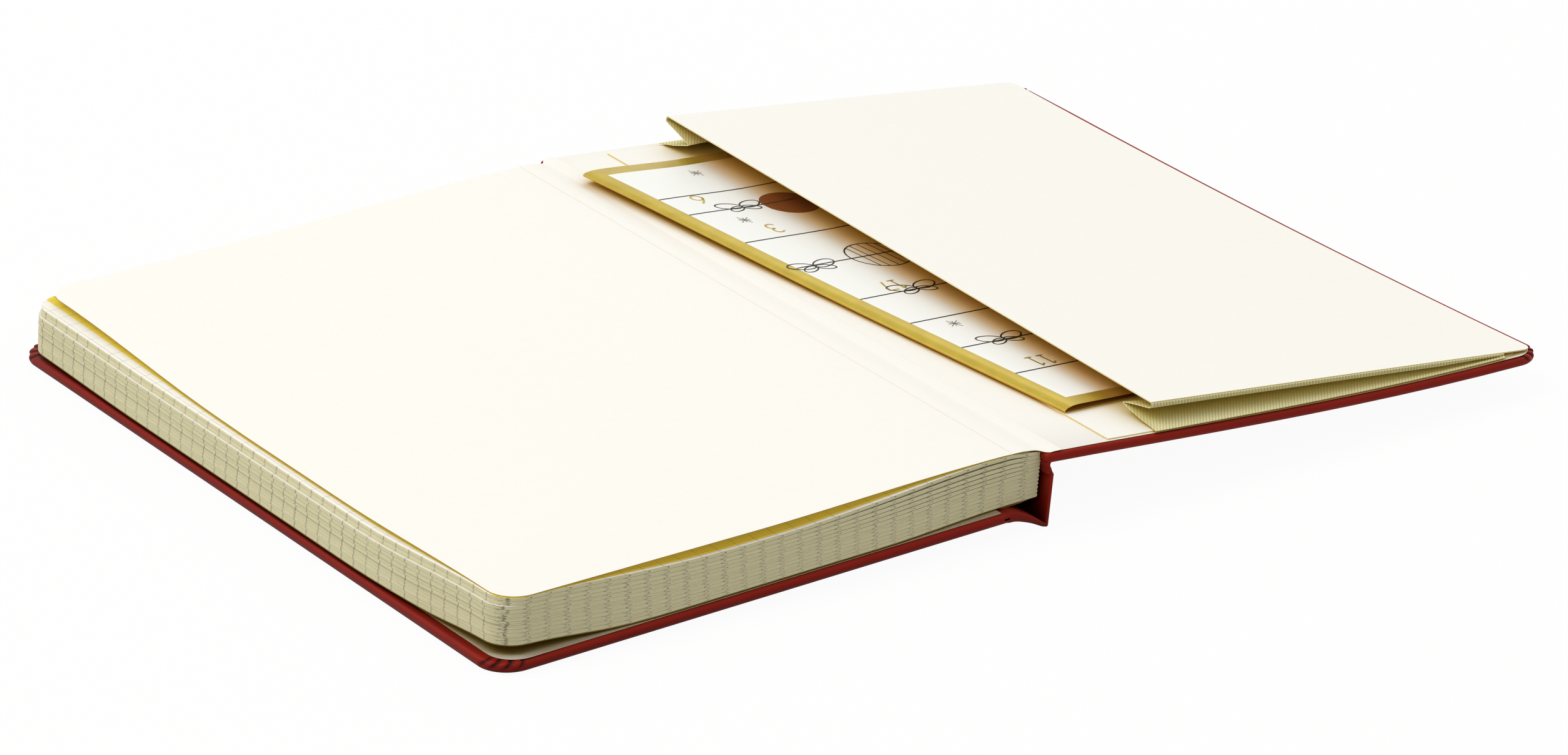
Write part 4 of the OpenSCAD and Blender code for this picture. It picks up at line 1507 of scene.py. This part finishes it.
def numeral_strokes():
    """The gold numerals, which stand upright when seen from the head."""
    strokes = []
    for digits, w, y in NUMERALS:
        for k, digit in enumerate(digits):
            for stroke in numeral(digit):
                shape = np.asarray(stroke, float) - [1.2 * len(digits), 2.0] + [2.7 * k, 0]
                shape = resampled(shape * 1.3, 0.3)
                strokes.append(printed_strip(np.stack([w - shape[:, 0], y - shape[:, 1] * 1.05], 1), 0.55))
    return strokes


def disc_patch():
    """A plain round patch of colour, as a strip whose every row crosses it."""
    w, y, radius = DISC
    rows = []
    for away in np.linspace(-7.2, 7.2, 25):
        reach = math.sqrt(radius ** 2 - away ** 2)
        rows.append([(w + away, y - reach), (w + away, y + reach)])
    rows = np.array(rows)
    return np.stack([rows[:, 0] + (rows[:, 1] - rows[:, 0]) * t for t in np.linspace(0, 1, 12)], 1)


class NOTEBOOK_OT_leaflet(bpy.types.Operator):
    """Builds the folded leaflet with its foil border and a plain generic print."""

    bl_idname = "notebook.leaflet"
    bl_label = "Leaflet"

    def execute(self, context):
        outer, inner, spots = folded_sheet()
        sheet = new_piece("folded_leaflet", *sheet_solid(outer, inner), REAR_COVER,
                          leaflet_material(), 50, {"leaflet_place": spots})
        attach(sheet, "leaflet")
        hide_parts("leaflet")
        press_flat(sheet)
        printed_piece("leaflet_lines", dark_strokes(sizes().border / MM),
                      print_material("offset_ink_dried", list(colours().ink), 0.0, 0.5))
        printed_piece("leaflet_stars", star_strokes(),
                      print_material("offset_ink_grey", linear("#8F8D88"), 0.0, 0.5))
        printed_piece("leaflet_numerals", numeral_strokes(),
                      print_material("gold_foil_stamped", list(colours().foil), 0.7, 0.35))
        printed_piece("leaflet_ornament", [disc_patch()],
                      print_material("offset_ink_rust", linear("#8A4A1C"), 0.0, 0.5))
        return {"FINISHED"}


# Stage


def white_when_seen(tree, lit, white):
    """Shows one shader to the camera and to clear reflections, and lets the other one light the rest."""
    path = add(tree, "ShaderNodeLightPath").outputs
    gloss = add(tree, "ShaderNodeMath", {0: path["Is Camera Ray"], 1: path["Is Glossy Ray"]},
                operation="MAXIMUM")
    clear = add(tree, "ShaderNodeMath", {0: gloss, 1: path["Is Transmission Ray"]},
                operation="MAXIMUM")
    return add(tree, "ShaderNodeMixShader", {0: clear, 1: lit, 2: white})


def floor_material():
    """A matt sheet of white studio paper, which keeps the object's shadow."""
    material, tree = begin("white_floor_sheet")
    place = add(tree, "ShaderNodeTexCoord").outputs["Object"]
    grain = add(tree, "ShaderNodeTexNoise", {"Vector": place, "Scale": 1 / (40 * MM)})
    tone = add(tree, "ShaderNodeMapRange", {0: grain, 3: 0.34, 4: 0.36})
    matt = add(tree, "ShaderNodeBsdfDiffuse", {"Color": tone})
    seen_matt = add(tree, "ShaderNodeBsdfDiffuse", {"Color": (0.9, 0.9, 0.9, 1)})
    white = add(tree, "ShaderNodeEmission", {"Color": (1, 1, 1, 1), "Strength": 1.0})
    seen = add(tree, "ShaderNodeMixShader", {0: 0.95, 1: seen_matt, 2: white})
    add(tree, "ShaderNodeOutputMaterial", {"Surface": white_when_seen(tree, matt, seen)})
    return material


def studio_world():
    """A white room, bright overhead and darker towards the horizon."""
    world = bpy.data.worlds.new("studio")
    world.use_nodes = True
    tree = world.node_tree
    tree.nodes.clear()
    aim = add(tree, "ShaderNodeTexCoord").outputs["Generated"]
    height = add(tree, "ShaderNodeSeparateXYZ", {0: aim})
    sky = add(tree, "ShaderNodeMapRange", {0: height.outputs[2], 1: 0.0, 2: 0.7, 3: 0.3, 4: 0.75})
    room = add(tree, "ShaderNodeBackground", {"Color": linear("#FFFDF8"), "Strength": sky})
    seen = add(tree, "ShaderNodeBackground", {"Color": (1, 1, 1, 1), "Strength": 1.0})
    add(tree, "ShaderNodeOutputWorld", {"Surface": white_when_seen(tree, room, seen)})
    return world


# Lamps: place, width and power
LAMPS = {"key_light": ((-1.85, 0.8, 2.45), 2.0, 37.5), "fill_light": ((1.9, 1.5, 2.6), 2.2, 18.5)}

FLOOR_REACH = 6.0
FLOOR_Z = -0.4 * MM

# The camera looks from beyond the leaves' tail corner
CAMERA_PLACE = (-0.950778, -1.39227, 0.727912)
CAMERA_TURN = math.radians(34.181)
CAMERA_DOWN = math.radians(23.723)
CAMERA_ROLL = math.radians(-0.6)
CAMERA_LENS = 180.96
CAMERA_SENSOR = 36.0


class NOTEBOOK_OT_stage(bpy.types.Operator):
    """Sets the white floor, the soft studio light and the camera."""

    bl_idname = "notebook.stage"
    bl_label = "Stage"

    def execute(self, context):
        scene = context.scene
        scene.view_settings.view_transform = "Standard"
        scene.world = studio_world()

        corners = [(-1, -1), (1, -1), (1, 1), (-1, 1)]
        mesh = bpy.data.meshes.new("floor")
        mesh.from_pydata([(x * FLOOR_REACH, y * FLOOR_REACH, FLOOR_Z) for x, y in corners], [],
                         [(0, 1, 2, 3)])
        mesh.materials.append(floor_material())
        floor = bpy.data.objects.new("floor", mesh)
        scene.collection.objects.link(floor)

        for name, (spot, size, power) in LAMPS.items():
            data = bpy.data.lights.new(name, "AREA")
            data.size = size
            data.energy = power
            data.color = linear("#FFFDF9")[:3]
            lamp = bpy.data.objects.new(name, data)
            lamp.location = spot
            lamp.rotation_euler = (-Vector(spot)).to_track_quat("-Z", "Y").to_euler()
            scene.collection.objects.link(lamp)

        data = bpy.data.cameras.new("camera")
        data.sensor_width = CAMERA_SENSOR
        data.lens = CAMERA_LENS
        data.clip_start = 50 * MM
        camera = bpy.data.objects.new("camera", data)
        camera.matrix_world = (
            Matrix.Translation(CAMERA_PLACE) @ Matrix.Rotation(CAMERA_ROLL, 4, "Y")
            @ Matrix.Rotation(-CAMERA_TURN, 4, "Z") @ Matrix.Rotation(math.pi / 2 - CAMERA_DOWN, 4, "X"))
        scene.collection.objects.link(camera)
        scene.camera = camera
        return {"FINISHED"}


PARTS = ("covers", "spine", "leaves", "endpapers", "pocket", "leaflet", "stage")


class NOTEBOOK_PT_panel(bpy.types.Panel):
    """Lists the notebook's pieces, sizes and colours."""

    bl_idname = "NOTEBOOK_PT_panel"
    bl_label = "Notebook"
    bl_space_type = "VIEW_3D"
    bl_region_type = "UI"
    bl_category = "Notebook"

    def draw(self, context):
        for group in (context.scene.notebook_sizes, context.scene.notebook_colours):
            for key in group.__annotations__:
                self.layout.prop(group, key)
        for part in PARTS:
            self.layout.operator("notebook." + part)


CLASSES = (NotebookSizes, NotebookColours, NOTEBOOK_OT_covers, NOTEBOOK_OT_spine, NOTEBOOK_OT_leaves,
           NOTEBOOK_OT_endpapers, NOTEBOOK_OT_pocket, NOTEBOOK_OT_leaflet, NOTEBOOK_OT_stage,
           NOTEBOOK_PT_panel)


def register():
    """Adds the notebook's classes and properties."""
    for cls in CLASSES:
        bpy.utils.register_class(cls)
    bpy.types.Scene.notebook_sizes = PointerProperty(type=NotebookSizes)
    bpy.types.Scene.notebook_colours = PointerProperty(type=NotebookColours)


def unregister():
    """Takes the notebook's classes and properties away."""
    del bpy.types.Scene.notebook_colours
    del bpy.types.Scene.notebook_sizes
    for cls in reversed(CLASSES):
        bpy.utils.unregister_class(cls)


def main():
    """Builds the notebook."""
    register()
    for part in PARTS:
        getattr(bpy.ops.notebook, part)()


if __name__ == "__main__":
    main()
